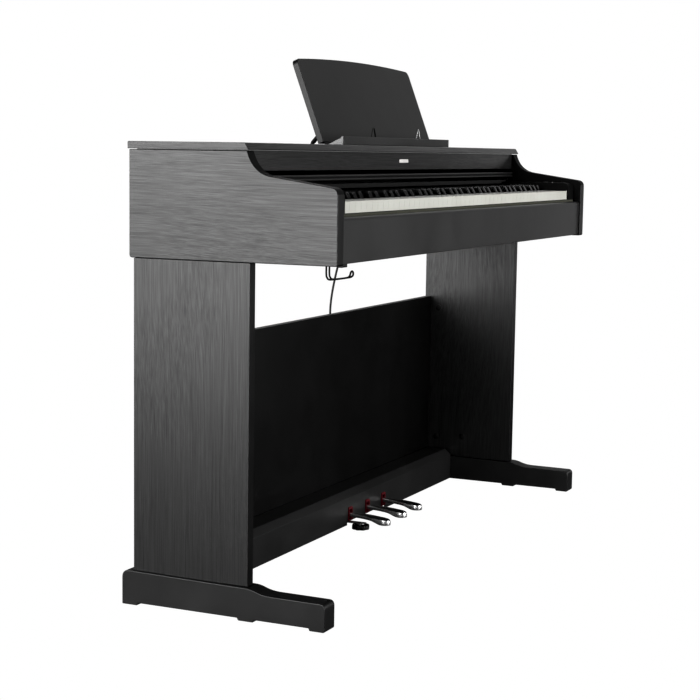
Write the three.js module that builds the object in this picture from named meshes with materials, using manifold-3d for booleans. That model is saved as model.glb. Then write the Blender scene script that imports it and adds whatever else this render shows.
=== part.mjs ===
// Digital piano on its stand: an 88-key keyboard unit with a sliding key cover and a
// folding music rest, two stand panels on feet, a backboard and a three-pedal box.
// Millimetres. X runs along the keyboard (bass at -X), the player sits at -Y, +Z is up.
// The origin is on the floor, under the middle of the piano.

import * as THREE from "three";
import { mergeVertices } from "three/addons/utils/BufferGeometryUtils.js";
import Module from "manifold-3d";

const wasm = await Module();
wasm.setup();

// ---------------------------------------------------------------- driving dimensions

const GAP = 0.3; // clearance between pieces that touch
const TOP_WIDTH = 1357; // top board, the widest part above the feet
const TOP_HEIGHT = 815; // upper face of the top board
const BACK_Y = 197.75; // y of the top board's back edge; depths are measured forward of it
const CHEEK_OUTER = 677.5; // outer faces of the keyboard's side panels and of the stand
const CHEEK_THICK = 25;
const CHEEK_INNER = CHEEK_OUTER - CHEEK_THICK;
const FRONT = 402; // forward depth of the side panels' front edge
const CASE_BOTTOM = 614.5; // lower edge of the keyboard unit's side panels
const CASE_TOP = 801.3;
const BED_BOTTOM = 615;
const BED_THICK = 18;
const INSIDE_HALF = CHEEK_INNER - GAP; // half width of whatever fits between the side panels

const PANEL_THICK = 19.6; // stand panels
const PANEL_INNER = CHEEK_OUTER - PANEL_THICK;
const FOOT_INNER = 648;
const FOOT_OUTER = 687;
const FOOT_REAR = -6.5;
const FOOT_FRONT = 392.6;

const WHITE_PITCH = 23.5;
const WHITE_COUNT = 52;
const KEY_GAP = 1;
const KEYS_HALF = (WHITE_PITCH * WHITE_COUNT) / 2;
const KEY_TOP = 719.3;
const KEY_FRONT = 381;
const KEY_THICK = 10.3;
const HEAD_LENGTH = 50; // full-width front part of a white key
const BLACK_WIDTH = 10.6;
const BLACK_SLOT = 12.8; // room that the white keys leave for a black key
const BLACK_TOP = 731.5;
const BLACK_FRONT = 329;
const OCTAVES = 7; // moulded key groups, each from A up to G

const COVER_ANGLE = 4; // degrees that the key cover's path falls towards the player
const COVER_FRONT = 232;
const COVER_BAR_TOP = 760;
const COVER_THICK = 6;
const COVER_REAR = 52;

const REST_HALF = 270; // half length of the music rest and its ledge
const REST_TILT = 20.7; // degrees from vertical when raised
const REST_THICK = 12;
const REST_AXIS = [167.9, 821]; // depth and height of the fold axis
const PROP_X = 240;
const PROP_LENGTH = 31.6;
const CLIP_X = 114;

const PEDAL_X = [61, 150, 236];
const PEDAL_PIVOT = [45, 30]; // depth and height of the pedals' shaft
const BOX_FRONT = 91; // front face of the pedal box
const BOX_REAR = 29;
const BOX_HALF = FOOT_INNER - 0.5;

// ---------------------------------------------------------------- materials

const material = (color, roughness, metalness = 0) =>
  new THREE.MeshStandardMaterial({ color, roughness, metalness });

const finishes = {
  ash: () => material(0x4b4a49, 0.5),
  edge: () => material(0x39383a, 0.55),
  plastic: () => material(0x242425, 0.6),
  ivory: () => material(0xd9dad2, 0.4),
  ebony: () => material(0x18181a, 0.55),
  chrome: () => material(0xc9ccd0, 0.15, 1),
  steel: () => material(0x8d9095, 0.4, 1),
  blackSteel: () => material(0x1a1a1b, 0.45, 0.6),
  board: () => material(0x2f5a3a, 0.5),
  rubber: () => material(0x161616, 0.8),
};

// ---------------------------------------------------------------- helpers

const piano = new THREE.Group();
const degrees = (angle) => (angle * Math.PI) / 180;

/** Turns a closed geometry into a solid that can be cut and joined. */
function solid(geometry) {
  const bare = geometry.clone();
  bare.deleteAttribute("normal");
  bare.deleteAttribute("uv");
  const merged = mergeVertices(bare, 1e-4);
  return new wasm.Manifold(
    new wasm.Mesh({
      numProp: 3,
      vertProperties: new Float32Array(merged.attributes.position.array),
      triVerts: new Uint32Array(merged.index.array),
    }),
  );
}

const join = (first, ...rest) => rest.reduce((sum, next) => sum.add(next), first);
const cut = (first, ...rest) => rest.reduce((left, next) => left.subtract(next), first);

/** Adds a named piece to the piano, from a solid or from a plain geometry. */
function piece(name, shape, finish, parent = piano) {
  let geometry = shape;
  if (!shape.isBufferGeometry) {
    const { vertProperties, triVerts } = shape.getMesh();
    geometry = new THREE.BufferGeometry();
    geometry.setAttribute("position", new THREE.BufferAttribute(vertProperties, 3));
    geometry.setIndex(new THREE.BufferAttribute(triVerts, 1));
    geometry.computeVertexNormals();
  }
  const mesh = new THREE.Mesh(geometry, finishes[finish]());
  mesh.name = name;
  parent.add(mesh);
  return mesh;
}

/** A box between two x values, two forward depths and two heights. */
function box(x0, x1, depth0, depth1, z0, z1) {
  const geometry = new THREE.BoxGeometry(x1 - x0, depth1 - depth0, z1 - z0);
  geometry.translate((x0 + x1) / 2, BACK_Y - (depth0 + depth1) / 2, (z0 + z1) / 2);
  return solid(geometry);
}

/** A side profile, drawn as depth forward and height, extruded between two x values. */
function alongX(profile, x0, x1, curveSegments = 5) {
  const shape = Array.isArray(profile)
    ? new THREE.Shape(profile.map(([depth, z]) => new THREE.Vector2(depth, z)))
    : profile;
  const geometry = new THREE.ExtrudeGeometry(shape, {
    depth: x1 - x0,
    bevelEnabled: false,
    curveSegments,
  });
  const turn = new THREE.Matrix4().makeBasis(
    new THREE.Vector3(0, -1, 0),
    new THREE.Vector3(0, 0, 1),
    new THREE.Vector3(-1, 0, 0),
  );
  turn.setPosition(x1, BACK_Y, 0);
  return solid(geometry.applyMatrix4(turn));
}

/** A plan outline, drawn as x and depth forward, extruded between two heights. */
function alongZ(outline, z0, z1, curveSegments = 8) {
  const geometry = new THREE.ExtrudeGeometry(outline, {
    depth: z1 - z0,
    bevelEnabled: false,
    curveSegments,
  });
  const turn = new THREE.Matrix4().makeBasis(
    new THREE.Vector3(1, 0, 0),
    new THREE.Vector3(0, -1, 0),
    new THREE.Vector3(0, 0, -1),
  );
  turn.setPosition(0, BACK_Y, z1);
  return solid(geometry.applyMatrix4(turn));
}

/** An upright round bar or disc. */
function disc(x, depth, radius, z0, z1, sides = 24) {
  const geometry = new THREE.CylinderGeometry(radius, radius, z1 - z0, sides);
  geometry.rotateX(Math.PI / 2);
  geometry.translate(x, BACK_Y - depth, (z0 + z1) / 2);
  return solid(geometry);
}

/** A round bar along X. */
function barAlongX(x0, x1, depth, z, radius, sides = 16) {
  const geometry = new THREE.CylinderGeometry(radius, radius, x1 - x0, sides);
  geometry.rotateZ(Math.PI / 2);
  geometry.translate((x0 + x1) / 2, BACK_Y - depth, z);
  return solid(geometry);
}

/** A round wire or cord through points given as x, depth forward and height. */
function wire(points, radius, sides, steps, tension = 0.5) {
  const path = new THREE.CatmullRomCurve3(
    points.map(([x, depth, z]) => new THREE.Vector3(x, BACK_Y - depth, z)),
    false,
    "catmullrom",
    tension,
  );
  const section = new THREE.Shape();
  for (let i = 0; i < sides; i += 1) {
    const angle = (i / sides) * 2 * Math.PI;
    const point = [radius * Math.cos(angle), radius * Math.sin(angle)];
    if (i === 0) section.moveTo(...point);
    else section.lineTo(...point);
  }
  section.closePath();
  return new THREE.ExtrudeGeometry(section, { steps, bevelEnabled: false, extrudePath: path });
}

/** Builds the same piece on both sides; the maker gets -1 for left and +1 for right. */
function bothSides(name, finish, make) {
  piece(`${name}_left`, make(-1), finish);
  piece(`${name}_right`, make(1), finish);
}

/** The smaller and the larger x of a span given for the right side. */
const span = (side, inner, outer) => (side > 0 ? [inner, outer] : [-outer, -inner]);

// ---------------------------------------------------------------- keyboard case

const coverSlope = Math.tan(degrees(COVER_ANGLE));
const COVER_PANEL_TOP = COVER_BAR_TOP - 3;
const coverTop = (depth) => COVER_PANEL_TOP + (COVER_FRONT - depth) * coverSlope;
const coverUnder = (depth) => coverTop(depth) - COVER_THICK;

/** Side panel: the top edge falls in a curve from the top board to the keyboard. */
function sidePanel(side) {
  const back = 2.7;
  const bottomRound = 6;
  const outline = new THREE.Shape();
  outline.moveTo(back + bottomRound, CASE_BOTTOM);
  outline.lineTo(FRONT - 2, CASE_BOTTOM);
  outline.lineTo(FRONT, CASE_BOTTOM + 2);
  outline.lineTo(FRONT, 730);
  outline.quadraticCurveTo(FRONT - 0.5, 742, 389, 743.7);
  outline.lineTo(278, 759.4);
  outline.quadraticCurveTo(244, 765, 233.3, CASE_TOP);
  outline.lineTo(back, CASE_TOP);
  outline.lineTo(back, CASE_BOTTOM + bottomRound);
  outline.quadraticCurveTo(back, CASE_BOTTOM, back + bottomRound, CASE_BOTTOM);
  const panel = alongX(outline, ...span(side, CHEEK_INNER, CHEEK_OUTER), 6);
  const trackStart = 40;
  const trackEnd = 221;
  const track = alongX(
    [
      [trackStart, coverUnder(trackStart) - 0.6],
      [trackEnd, coverUnder(trackEnd) - 0.6],
      [trackEnd, coverUnder(trackEnd) - 5],
      [trackStart, coverUnder(trackStart) - 5],
    ],
    ...span(side, CHEEK_INNER - 8, CHEEK_INNER + 1),
  );
  return join(panel, track);
}
bothSides("side_panel", "ash", sidePanel);

const TOP_BOTTOM = 802.5;
const topProfile = new THREE.Shape();
topProfile.moveTo(0, TOP_BOTTOM);
topProfile.lineTo(235.9, TOP_BOTTOM);
topProfile.lineTo(236, TOP_BOTTOM + 1.5);
topProfile.lineTo(230, TOP_HEIGHT - 1.5);
topProfile.quadraticCurveTo(229, TOP_HEIGHT, 227, TOP_HEIGHT);
topProfile.lineTo(1.5, TOP_HEIGHT);
topProfile.lineTo(0, TOP_HEIGHT - 1.5);
piece("top_board", alongX(topProfile, -TOP_WIDTH / 2, TOP_WIDTH / 2, 3), "ash");

const PANEL_FRONT = 229;
piece(
  "front_panel",
  box(-INSIDE_HALF, INSIDE_HALF, PANEL_FRONT - 12, PANEL_FRONT, 767.7, TOP_BOTTOM - GAP),
  "ash",
);

const REAR_BOARD_FRONT = 12;
piece(
  "rear_panel",
  box(-INSIDE_HALF, INSIDE_HALF, 3, REAR_BOARD_FRONT, BED_BOTTOM, TOP_BOTTOM - GAP),
  "plastic",
);

/** Key slip: the rail in front of the keys, with a small tab under its left end. */
function keySlip() {
  const rear = 386;
  const front = FRONT - 3.2;
  const bottom = 617.5;
  const top = 694;
  const round = 6.5;
  const outline = new THREE.Shape();
  outline.moveTo(rear, bottom);
  outline.lineTo(front, bottom);
  outline.lineTo(front, top - round);
  outline.quadraticCurveTo(front, top, front - round, top);
  outline.lineTo(rear, top);
  const rail = alongX(outline, -INSIDE_HALF, INSIDE_HALF, 4);
  const tab = box(-INSIDE_HALF, -INSIDE_HALF + 22, 390, front, 611.6, bottom + 1);
  return join(rail, tab);
}
piece("key_slip", keySlip(), "edge");

const BED_REAR = REAR_BOARD_FRONT + GAP;
const BED_FRONT = 385.6;
const BED_TOP = BED_BOTTOM + BED_THICK;
const SPEAKER_X = 430;
const SPEAKER_DEPTH = 78;
const SPEAKER_HOLE = 46;
const JACK_X = [-560, -530];
const JACK_DEPTH = 350;

/** Bottom board, with a hole under each speaker and two headphone sockets. */
function keybed() {
  const board = box(-INSIDE_HALF, INSIDE_HALF, BED_REAR, BED_FRONT, BED_BOTTOM, BED_TOP);
  const speakerHoles = [-1, 1].map((side) =>
    disc(side * SPEAKER_X, SPEAKER_DEPTH, SPEAKER_HOLE, BED_BOTTOM - 1, BED_TOP + 1, 28),
  );
  const jackHoles = JACK_X.map((x) => disc(x, JACK_DEPTH, 3.6, BED_BOTTOM - 1, BED_TOP + 1, 12));
  return cut(board, ...speakerHoles, ...jackHoles);
}
piece("keybed", keybed(), "plastic");

/** Speaker: basket flange, cone housing and magnet, facing down through its hole. */
function speaker(side) {
  const profile = [
    [0, 0],
    [16, 0],
    [18, -1],
    [42, -16],
    [43, 0],
    [53, 0],
    [53, 3],
    [46, 6],
    [26, 30],
    [26, 42],
    [0, 42],
  ].map(([radius, height]) => new THREE.Vector2(radius, height + 17));
  const geometry = new THREE.LatheGeometry(profile, 28);
  geometry.rotateX(Math.PI / 2);
  const z = BED_TOP + GAP - 17;
  geometry.translate(side * SPEAKER_X, BACK_Y - SPEAKER_DEPTH, z);
  return solid(geometry);
}
bothSides("speaker", "plastic", speaker);

/** Main circuit board on four posts, with its larger components. */
function circuitBoard() {
  const [x0, x1, rear, front] = [-320, -90, 34, 126];
  const plate = box(x0, x1, rear, front, 645, 647);
  const posts = [];
  for (const x of [x0 + 8, x1 - 8]) {
    for (const depth of [rear + 8, front - 8]) {
      posts.push(disc(x, depth, 3, BED_TOP + GAP, 646, 10));
    }
  }
  const parts = [
    box(-300, -262, 60, 98, 646, 650),
    box(-240, -222, 50, 96, 646, 668),
    box(-200, -178, 60, 82, 646, 649.5),
    disc(-150, 60, 9, 646, 671, 14),
    disc(-125, 60, 9, 646, 671, 14),
  ];
  return join(plate, ...posts, ...parts);
}
piece("circuit_board", circuitBoard(), "board");

/** Power inlet: a small block under the bottom board with its socket facing down. */
const inletTop = BED_BOTTOM - GAP;
piece(
  "power_inlet",
  cut(box(30, 52, 30, 46, inletTop - 14, inletTop), disc(41, 38, 3.6, inletTop - 15, 612, 12)),
  "plastic",
);

/** Jack housing: two socket barrels on a plate above the bottom board. */
function jackHousing() {
  const z = BED_TOP + GAP;
  const plate = box(JACK_X[0] - 12, JACK_X[1] + 12, JACK_DEPTH - 12, JACK_DEPTH + 12, z, z + 2);
  const barrels = JACK_X.map((x) => disc(x, JACK_DEPTH, 8, z, z + 30, 14));
  const bores = JACK_X.map((x) => disc(x, JACK_DEPTH, 3.4, z - 1, z + 27, 12));
  return cut(join(plate, ...barrels), ...bores);
}

// ---------------------------------------------------------------- key cover

/** Sliding key cover: a thin panel with a rounded pull bar along its front. */
function keyCover() {
  const half = CHEEK_INNER - 1;
  const barRear = COVER_FRONT - 9;
  const barBottom = COVER_BAR_TOP - 11;
  const panel = alongX(
    [
      [COVER_REAR, coverUnder(COVER_REAR)],
      [barRear + 1, coverUnder(barRear + 1)],
      [barRear + 1, coverTop(barRear + 1)],
      [COVER_REAR, coverTop(COVER_REAR)],
    ],
    -half,
    half,
  );
  const round = 3.5;
  const bar = new THREE.Shape();
  bar.moveTo(barRear, barBottom);
  bar.lineTo(COVER_FRONT - round, barBottom);
  bar.quadraticCurveTo(COVER_FRONT, barBottom, COVER_FRONT, barBottom + round);
  bar.lineTo(COVER_FRONT, COVER_BAR_TOP - round);
  bar.quadraticCurveTo(COVER_FRONT, COVER_BAR_TOP, COVER_FRONT - round, COVER_BAR_TOP);
  bar.lineTo(barRear, COVER_BAR_TOP);
  return join(panel, alongX(bar, -half, half, 3));
}
piece("key_cover", keyCover(), "edge");

// ---------------------------------------------------------------- keys

const RAIL_BOTTOM = 698;
const RAIL_HEIGHT = 4;
const RAIL_WIDTH = 8;
const WHITE_RAILS = [148, 160]; // rear depth of the first and the second white comb's rail
const BLACK_RAIL = 172;
const OCTAVE_NOTES = ["A", "B", "C", "D", "E", "F", "G"];
const UNDER_KEY = KEY_TOP - KEY_THICK;

const whiteLeft = (index) => -KEYS_HALF + index * WHITE_PITCH;
const noteOf = (index) => OCTAVE_NOTES[index % 7];

/**
 * Middle of the black key above white key `index`, or null where there is none.
 * C to E share three white widths among five tails, F to B four widths among seven.
 */
function blackCentre(index) {
  if (index >= WHITE_COUNT - 1) return null;
  const tail = { C: 3 / 5, D: 3 / 5, F: 4 / 7, G: 4 / 7, A: 4 / 7 }[noteOf(index)];
  if (tail === undefined) return null;
  const place = { C: 1.5, D: 3.5, F: 1.5, G: 3.5, A: 5.5 }[noteOf(index)];
  const firstOfGroup = { C: 0, D: 1, F: 0, G: 1, A: 2 }[noteOf(index)];
  return whiteLeft(index - firstOfGroup) + place * tail * WHITE_PITCH;
}

/** One white key: a full-width head with a skirt, and a tail notched for black keys. */
function whiteKey(index, rear) {
  const x0 = whiteLeft(index) + KEY_GAP / 2;
  const x1 = whiteLeft(index + 1) - KEY_GAP / 2;
  const headRear = KEY_FRONT - HEAD_LENGTH;
  const before = index > 0 ? blackCentre(index - 1) : null;
  const after = blackCentre(index);
  const tail0 = before === null ? x0 : Math.max(x0, before + BLACK_SLOT / 2);
  const tail1 = after === null ? x1 : Math.min(x1, after - BLACK_SLOT / 2);
  const head = alongX(
    [
      [headRear, UNDER_KEY],
      [KEY_FRONT - 3, UNDER_KEY],
      [KEY_FRONT - 3, KEY_TOP - 20],
      [KEY_FRONT, KEY_TOP - 20],
      [KEY_FRONT, KEY_TOP],
      [headRear, KEY_TOP],
    ],
    x0,
    x1,
  );
  const tail = box(tail0, tail1, rear, headRear + 1, UNDER_KEY, KEY_TOP);
  const riser = box(tail0, tail1, rear, rear + RAIL_WIDTH, RAIL_BOTTOM + 1, KEY_TOP - 1);
  return join(head, tail, riser);
}

/** One black key: sloped front, sides drawn in towards the top. */
function blackKey(centre) {
  const side = alongX(
    [
      [BLACK_RAIL, UNDER_KEY],
      [BLACK_FRONT + 1, UNDER_KEY],
      [BLACK_FRONT, KEY_TOP + 1],
      [BLACK_FRONT - 6, BLACK_TOP - 1],
      [BLACK_FRONT - 9, BLACK_TOP],
      [BLACK_RAIL, BLACK_TOP],
    ],
    centre - BLACK_WIDTH / 2,
    centre + BLACK_WIDTH / 2,
  );
  const riser = box(
    centre - BLACK_WIDTH / 2,
    centre + BLACK_WIDTH / 2,
    BLACK_RAIL,
    BLACK_RAIL + RAIL_WIDTH,
    RAIL_BOTTOM + 1,
    BLACK_TOP - 1,
  );
  return join(side, riser);
}

const rail = (x0, x1, rear) =>
  box(x0, x1, rear, rear + RAIL_WIDTH, RAIL_BOTTOM, RAIL_BOTTOM + RAIL_HEIGHT);

/** Joins every second white key of a group, or its black keys, with a rail at the rear. */
function makeCombs(group) {
  const first = group * 7;
  const last = group === OCTAVES - 1 ? WHITE_COUNT - 1 : first + 6;
  const octave = String(group + 1);
  for (const [parity, rear] of WHITE_RAILS.entries()) {
    const keys = [];
    for (let index = first + parity; index <= last; index += 2) keys.push(index);
    const x0 = whiteLeft(keys[0]) + KEY_GAP;
    const x1 = whiteLeft(keys[keys.length - 1] + 1) - KEY_GAP;
    const comb = join(rail(x0, x1, rear), ...keys.map((index) => whiteKey(index, rear)));
    piece(`white_keys_${octave}${parity === 0 ? "a" : "b"}`, comb, "ivory");
  }
  const centres = [];
  for (let index = first; index <= last; index += 1) {
    const centre = blackCentre(index);
    if (centre !== null) centres.push(centre);
  }
  const x0 = centres[0] - BLACK_WIDTH / 2 + 0.1;
  const x1 = centres[centres.length - 1] + BLACK_WIDTH / 2 - 0.1;
  piece(
    `black_keys_${octave}`,
    join(rail(x0, x1, BLACK_RAIL), ...centres.map(blackKey)),
    "ebony",
  );
}
for (let group = 0; group < OCTAVES; group += 1) makeCombs(group);

/** Key frame: a moulded chassis with a rear rail for the combs and a front guide rail. */
function keyFrame() {
  const base = BED_TOP + GAP;
  const profile = [
    [142, base],
    [372, base],
    [372, base + 14],
    [362, 684],
    [346, 684],
    [336, base + 14],
    [196, base + 14],
    [186, RAIL_BOTTOM - 0.7],
    [142, RAIL_BOTTOM - 0.7],
  ];
  const notch = box(JACK_X[0] - 16, JACK_X[1] + 16, 330, 373, base - 1, base + 60);
  return cut(alongX(profile, -KEYS_HALF, KEYS_HALF), notch);
}
piece("key_frame", keyFrame(), "plastic");
piece("jack_housing", jackHousing(), "plastic");

// ---------------------------------------------------------------- key blocks, controls

const BLOCK_INNER = KEYS_HALF + 1.5;
const BLOCK_TOP = 737.5;
const BLOCK_MIDDLE = (BLOCK_INNER + INSIDE_HALF) / 2;
const VOLUME_DEPTH = 280;
const VOLUME_TRAVEL = 15;
const VOICE_DEPTH = 322;
const POWER_DEPTH = 322;
const BUTTON_TRAVEL = 1.5;

/** Key block: fills the space beside the last key; pockets hold the controls. */
function keyBlock(side, pockets) {
  const rear = 200;
  const front = 384.6;
  const round = 14;
  const outline = new THREE.Shape();
  outline.moveTo(rear, BED_TOP + GAP);
  outline.lineTo(front, BED_TOP + GAP);
  outline.lineTo(front, BLOCK_TOP - round);
  outline.quadraticCurveTo(front, BLOCK_TOP, front - round, BLOCK_TOP);
  outline.lineTo(rear, BLOCK_TOP);
  return cut(alongX(outline, ...span(side, BLOCK_INNER, INSIDE_HALF), 4), ...pockets);
}

const pocketFloor = BLOCK_TOP - 8;
const volumeSlot = box(
  -BLOCK_MIDDLE - 2.5,
  -BLOCK_MIDDLE + 2.5,
  VOLUME_DEPTH - VOLUME_TRAVEL - 4.5,
  VOLUME_DEPTH + VOLUME_TRAVEL + 4.5,
  pocketFloor,
  BLOCK_TOP + 1,
);
const voicePocket = box(
  -BLOCK_MIDDLE - 8.4,
  -BLOCK_MIDDLE + 8.4,
  VOICE_DEPTH - 4.4,
  VOICE_DEPTH + 4.4,
  pocketFloor,
  BLOCK_TOP + 1,
);
const powerPocket = disc(BLOCK_MIDDLE, POWER_DEPTH, 6.4, pocketFloor, BLOCK_TOP + 1, 20);
piece("key_block_left", keyBlock(-1, [volumeSlot, voicePocket]), "plastic");
piece("key_block_right", keyBlock(1, [powerPocket]), "plastic");

const volumeStem = box(
  -BLOCK_MIDDLE - 1.8,
  -BLOCK_MIDDLE + 1.8,
  VOLUME_DEPTH - 3,
  VOLUME_DEPTH + 3,
  pocketFloor + 1,
  BLOCK_TOP + 2,
);
const volumeCap = box(
  -BLOCK_MIDDLE - 6,
  -BLOCK_MIDDLE + 6,
  VOLUME_DEPTH - 4,
  VOLUME_DEPTH + 4,
  BLOCK_TOP + 0.5,
  BLOCK_TOP + 4.5,
);
piece("volume_slider", join(volumeStem, volumeCap), "plastic");

const buttonFloor = pocketFloor + BUTTON_TRAVEL + 0.5;
piece(
  "voice_button",
  box(
    -BLOCK_MIDDLE - 8,
    -BLOCK_MIDDLE + 8,
    VOICE_DEPTH - 4,
    VOICE_DEPTH + 4,
    buttonFloor,
    BLOCK_TOP + 1.8,
  ),
  "plastic",
);
piece(
  "power_button",
  disc(BLOCK_MIDDLE, POWER_DEPTH, 6, buttonFloor, BLOCK_TOP + 1.8, 20),
  "plastic",
);

// ---------------------------------------------------------------- music rest

const tilt = degrees(REST_TILT);
const restGroup = new THREE.Group();
restGroup.position.set(0, BACK_Y - REST_AXIS[0], REST_AXIS[1]);
restGroup.rotation.x = -tilt;
piano.add(restGroup);

// In the music rest's own frame, z runs up the plate and y runs from its front to its back.
const REST_BACK = 4; // from the fold axis to the plate's back face
const REST_FRONT = REST_BACK - REST_THICK;
const REST_FOOT = -4;
const REST_CORNER = 164; // height of the top corners along the plate
const REST_CROWN = 7.5; // rise of the arched top edge at its middle
const PROP_SEAT = 22; // height of the prop's pivot along the plate

/** A box in the music rest's own frame. */
function restBox(x0, x1, y0, y1, z0, z1) {
  const geometry = new THREE.BoxGeometry(x1 - x0, y1 - y0, z1 - z0);
  geometry.translate((x0 + x1) / 2, (y0 + y1) / 2, (z0 + z1) / 2);
  return solid(geometry);
}

/** Music rest: a plate with an arched top edge and a recess behind for each prop. */
function restPlate() {
  const round = 14;
  const outline = new THREE.Shape();
  outline.moveTo(-REST_HALF, REST_FOOT);
  outline.lineTo(REST_HALF, REST_FOOT);
  outline.lineTo(REST_HALF, REST_CORNER - round);
  outline.quadraticCurveTo(REST_HALF, REST_CORNER + 0.5, REST_HALF - round, REST_CORNER + 0.5);
  const control = 2 * REST_CROWN;
  outline.quadraticCurveTo(0, REST_CORNER + control, -REST_HALF + round, REST_CORNER + 0.5);
  outline.quadraticCurveTo(-REST_HALF, REST_CORNER + 0.5, -REST_HALF, REST_CORNER - round);
  const geometry = new THREE.ExtrudeGeometry(outline, {
    depth: REST_THICK,
    bevelEnabled: false,
    curveSegments: 10,
  });
  geometry.rotateX(Math.PI / 2);
  geometry.translate(0, REST_BACK, 0);
  const recesses = [-PROP_X, PROP_X].map((x) =>
    restBox(x - 7, x + 7, REST_BACK - 5.5, REST_BACK + 1, PROP_SEAT - 7, PROP_SEAT + 36),
  );
  return cut(solid(geometry), ...recesses);
}
piece("music_rest", restPlate(), "edge", restGroup);

// A prop is a flat leg that leans back from its pivot to the top board.
const PROP_LEAN = 39.85 + REST_TILT; // degrees from the plate's downward direction
const PROP_Y = REST_BACK - 2.5;

/** Prop: a pivot eye and a flat leg with a rounded tip. */
function restProp() {
  const radius = 1.5;
  const eye = new THREE.CylinderGeometry(2.2, 2.2, 12, 14);
  eye.rotateZ(Math.PI / 2);
  const leg = new THREE.BoxGeometry(12, 2 * radius, PROP_LENGTH);
  leg.translate(0, 0, -PROP_LENGTH / 2);
  const tip = new THREE.CylinderGeometry(radius, radius, 12, 14);
  tip.rotateZ(Math.PI / 2);
  tip.translate(0, 0, -PROP_LENGTH);
  return join(solid(eye), solid(leg), solid(tip));
}
for (const [name, x] of [
  ["rest_prop_left", -PROP_X],
  ["rest_prop_right", PROP_X],
]) {
  const prop = piece(name, restProp(), "blackSteel", restGroup);
  prop.position.set(x, PROP_Y, PROP_SEAT);
  prop.rotation.x = degrees(PROP_LEAN);
}

/** Ledge: a long wedge that the pages stand on, with a small lip along its front. */
const LEDGE_BOTTOM = TOP_HEIGHT + GAP;
const LEDGE_TOP = 831;
piece(
  "rest_ledge",
  alongX(
    [
      [188, LEDGE_BOTTOM],
      [218, LEDGE_BOTTOM],
      [218, LEDGE_TOP - 1],
      [217, LEDGE_TOP],
      [214.5, LEDGE_TOP],
      [213, 828],
      [188, LEDGE_BOTTOM + 1.2],
    ],
    -REST_HALF,
    REST_HALF,
  ),
  "edge",
);

/** Page clip: a small triangle of bent wire standing behind the ledge's lip. */
function pageClip(centre) {
  const depth = 210.6;
  const foot = 828.6;
  const radius = 1.1;
  const half = 11.5;
  const top = foot + 21;
  const loop = wire(
    [
      [centre - half, depth, foot],
      [centre - half + 1, depth, foot + 2.5],
      [centre - 2.4, depth, top - 1.6],
      [centre, depth, top],
      [centre + 2.4, depth, top - 1.6],
      [centre + half - 1, depth, foot + 2.5],
      [centre + half, depth, foot],
    ],
    radius,
    6,
    20,
  );
  const axle = barAlongX(centre - half - 3, centre + half + 3, depth, foot, radius, 10);
  return join(solid(loop), axle);
}
piece("rest_clip_left", pageClip(-CLIP_X), "blackSteel");
piece("rest_clip_right", pageClip(CLIP_X), "blackSteel");

// ---------------------------------------------------------------- stand

const FOOT_TOP_REAR = 62;
const FOOT_TOP_STEP = 58.5;
const STEP_DEPTH = 241;
const PANEL_REAR = 12;
const PANEL_FRONT_DEPTH = 240.7;
const footTop = (depth) =>
  FOOT_TOP_REAR + ((FOOT_TOP_STEP - FOOT_TOP_REAR) * depth) / STEP_DEPTH;

/** Foot: stands on three pads, falls in a soft step in front of the stand panel. */
function foot(side) {
  const recess = 4.5;
  const outline = new THREE.Shape();
  outline.moveTo(FOOT_REAR, 0);
  outline.lineTo(24, 0);
  outline.lineTo(26, recess);
  outline.lineTo(225, recess);
  outline.lineTo(227, 0);
  outline.lineTo(256, 0);
  outline.lineTo(258, recess);
  outline.lineTo(362, recess);
  outline.lineTo(364, 0);
  outline.lineTo(FOOT_FRONT - 2, 0);
  outline.lineTo(FOOT_FRONT, 2);
  outline.lineTo(FOOT_FRONT, 39);
  outline.quadraticCurveTo(FOOT_FRONT, 49, FOOT_FRONT - 10, 49);
  outline.lineTo(292, 49.6);
  outline.bezierCurveTo(262, 50, 262, 58, STEP_DEPTH, FOOT_TOP_STEP);
  outline.lineTo(7, footTop(7));
  outline.quadraticCurveTo(FOOT_REAR, FOOT_TOP_REAR, FOOT_REAR, 48);
  return alongX(outline, ...span(side, FOOT_INNER, FOOT_OUTER), 5);
}
bothSides("foot", "ash", foot);

const STAND_TOP = CASE_BOTTOM - GAP - 0.1;
bothSides("stand_panel", "ash", (side) =>
  alongX(
    [
      [PANEL_REAR, footTop(PANEL_REAR) + GAP],
      [PANEL_FRONT_DEPTH, footTop(PANEL_FRONT_DEPTH) + GAP],
      [PANEL_FRONT_DEPTH, STAND_TOP],
      [PANEL_REAR, STAND_TOP],
    ],
    ...span(side, PANEL_INNER, CHEEK_OUTER),
  ),
);

const BACKBOARD_REAR = 12.5;
const BACKBOARD_FRONT = 27.5;
const BACKBOARD_TOP = 452.4;
const BACKBOARD_BOTTOM = 64;
piece(
  "backboard",
  box(
    -PANEL_INNER + GAP,
    PANEL_INNER - GAP,
    BACKBOARD_REAR,
    BACKBOARD_FRONT,
    BACKBOARD_BOTTOM,
    BACKBOARD_TOP,
  ),
  "ash",
);

// ---------------------------------------------------------------- pedal box and pedals

const BOX_BOTTOM = 5;
const BOX_SHOULDER = 64.5;
const BOX_TOP = 77;
const BOX_WALL = 3;
const NOTCH_TOP = 13.5;
const NOTCH = [48, 250];
const PEDAL_SLOT_HALF = 9;
const PEDAL_TIP = 190;
const CORD_X = 129;
const GLAND_Z = 40;

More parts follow.
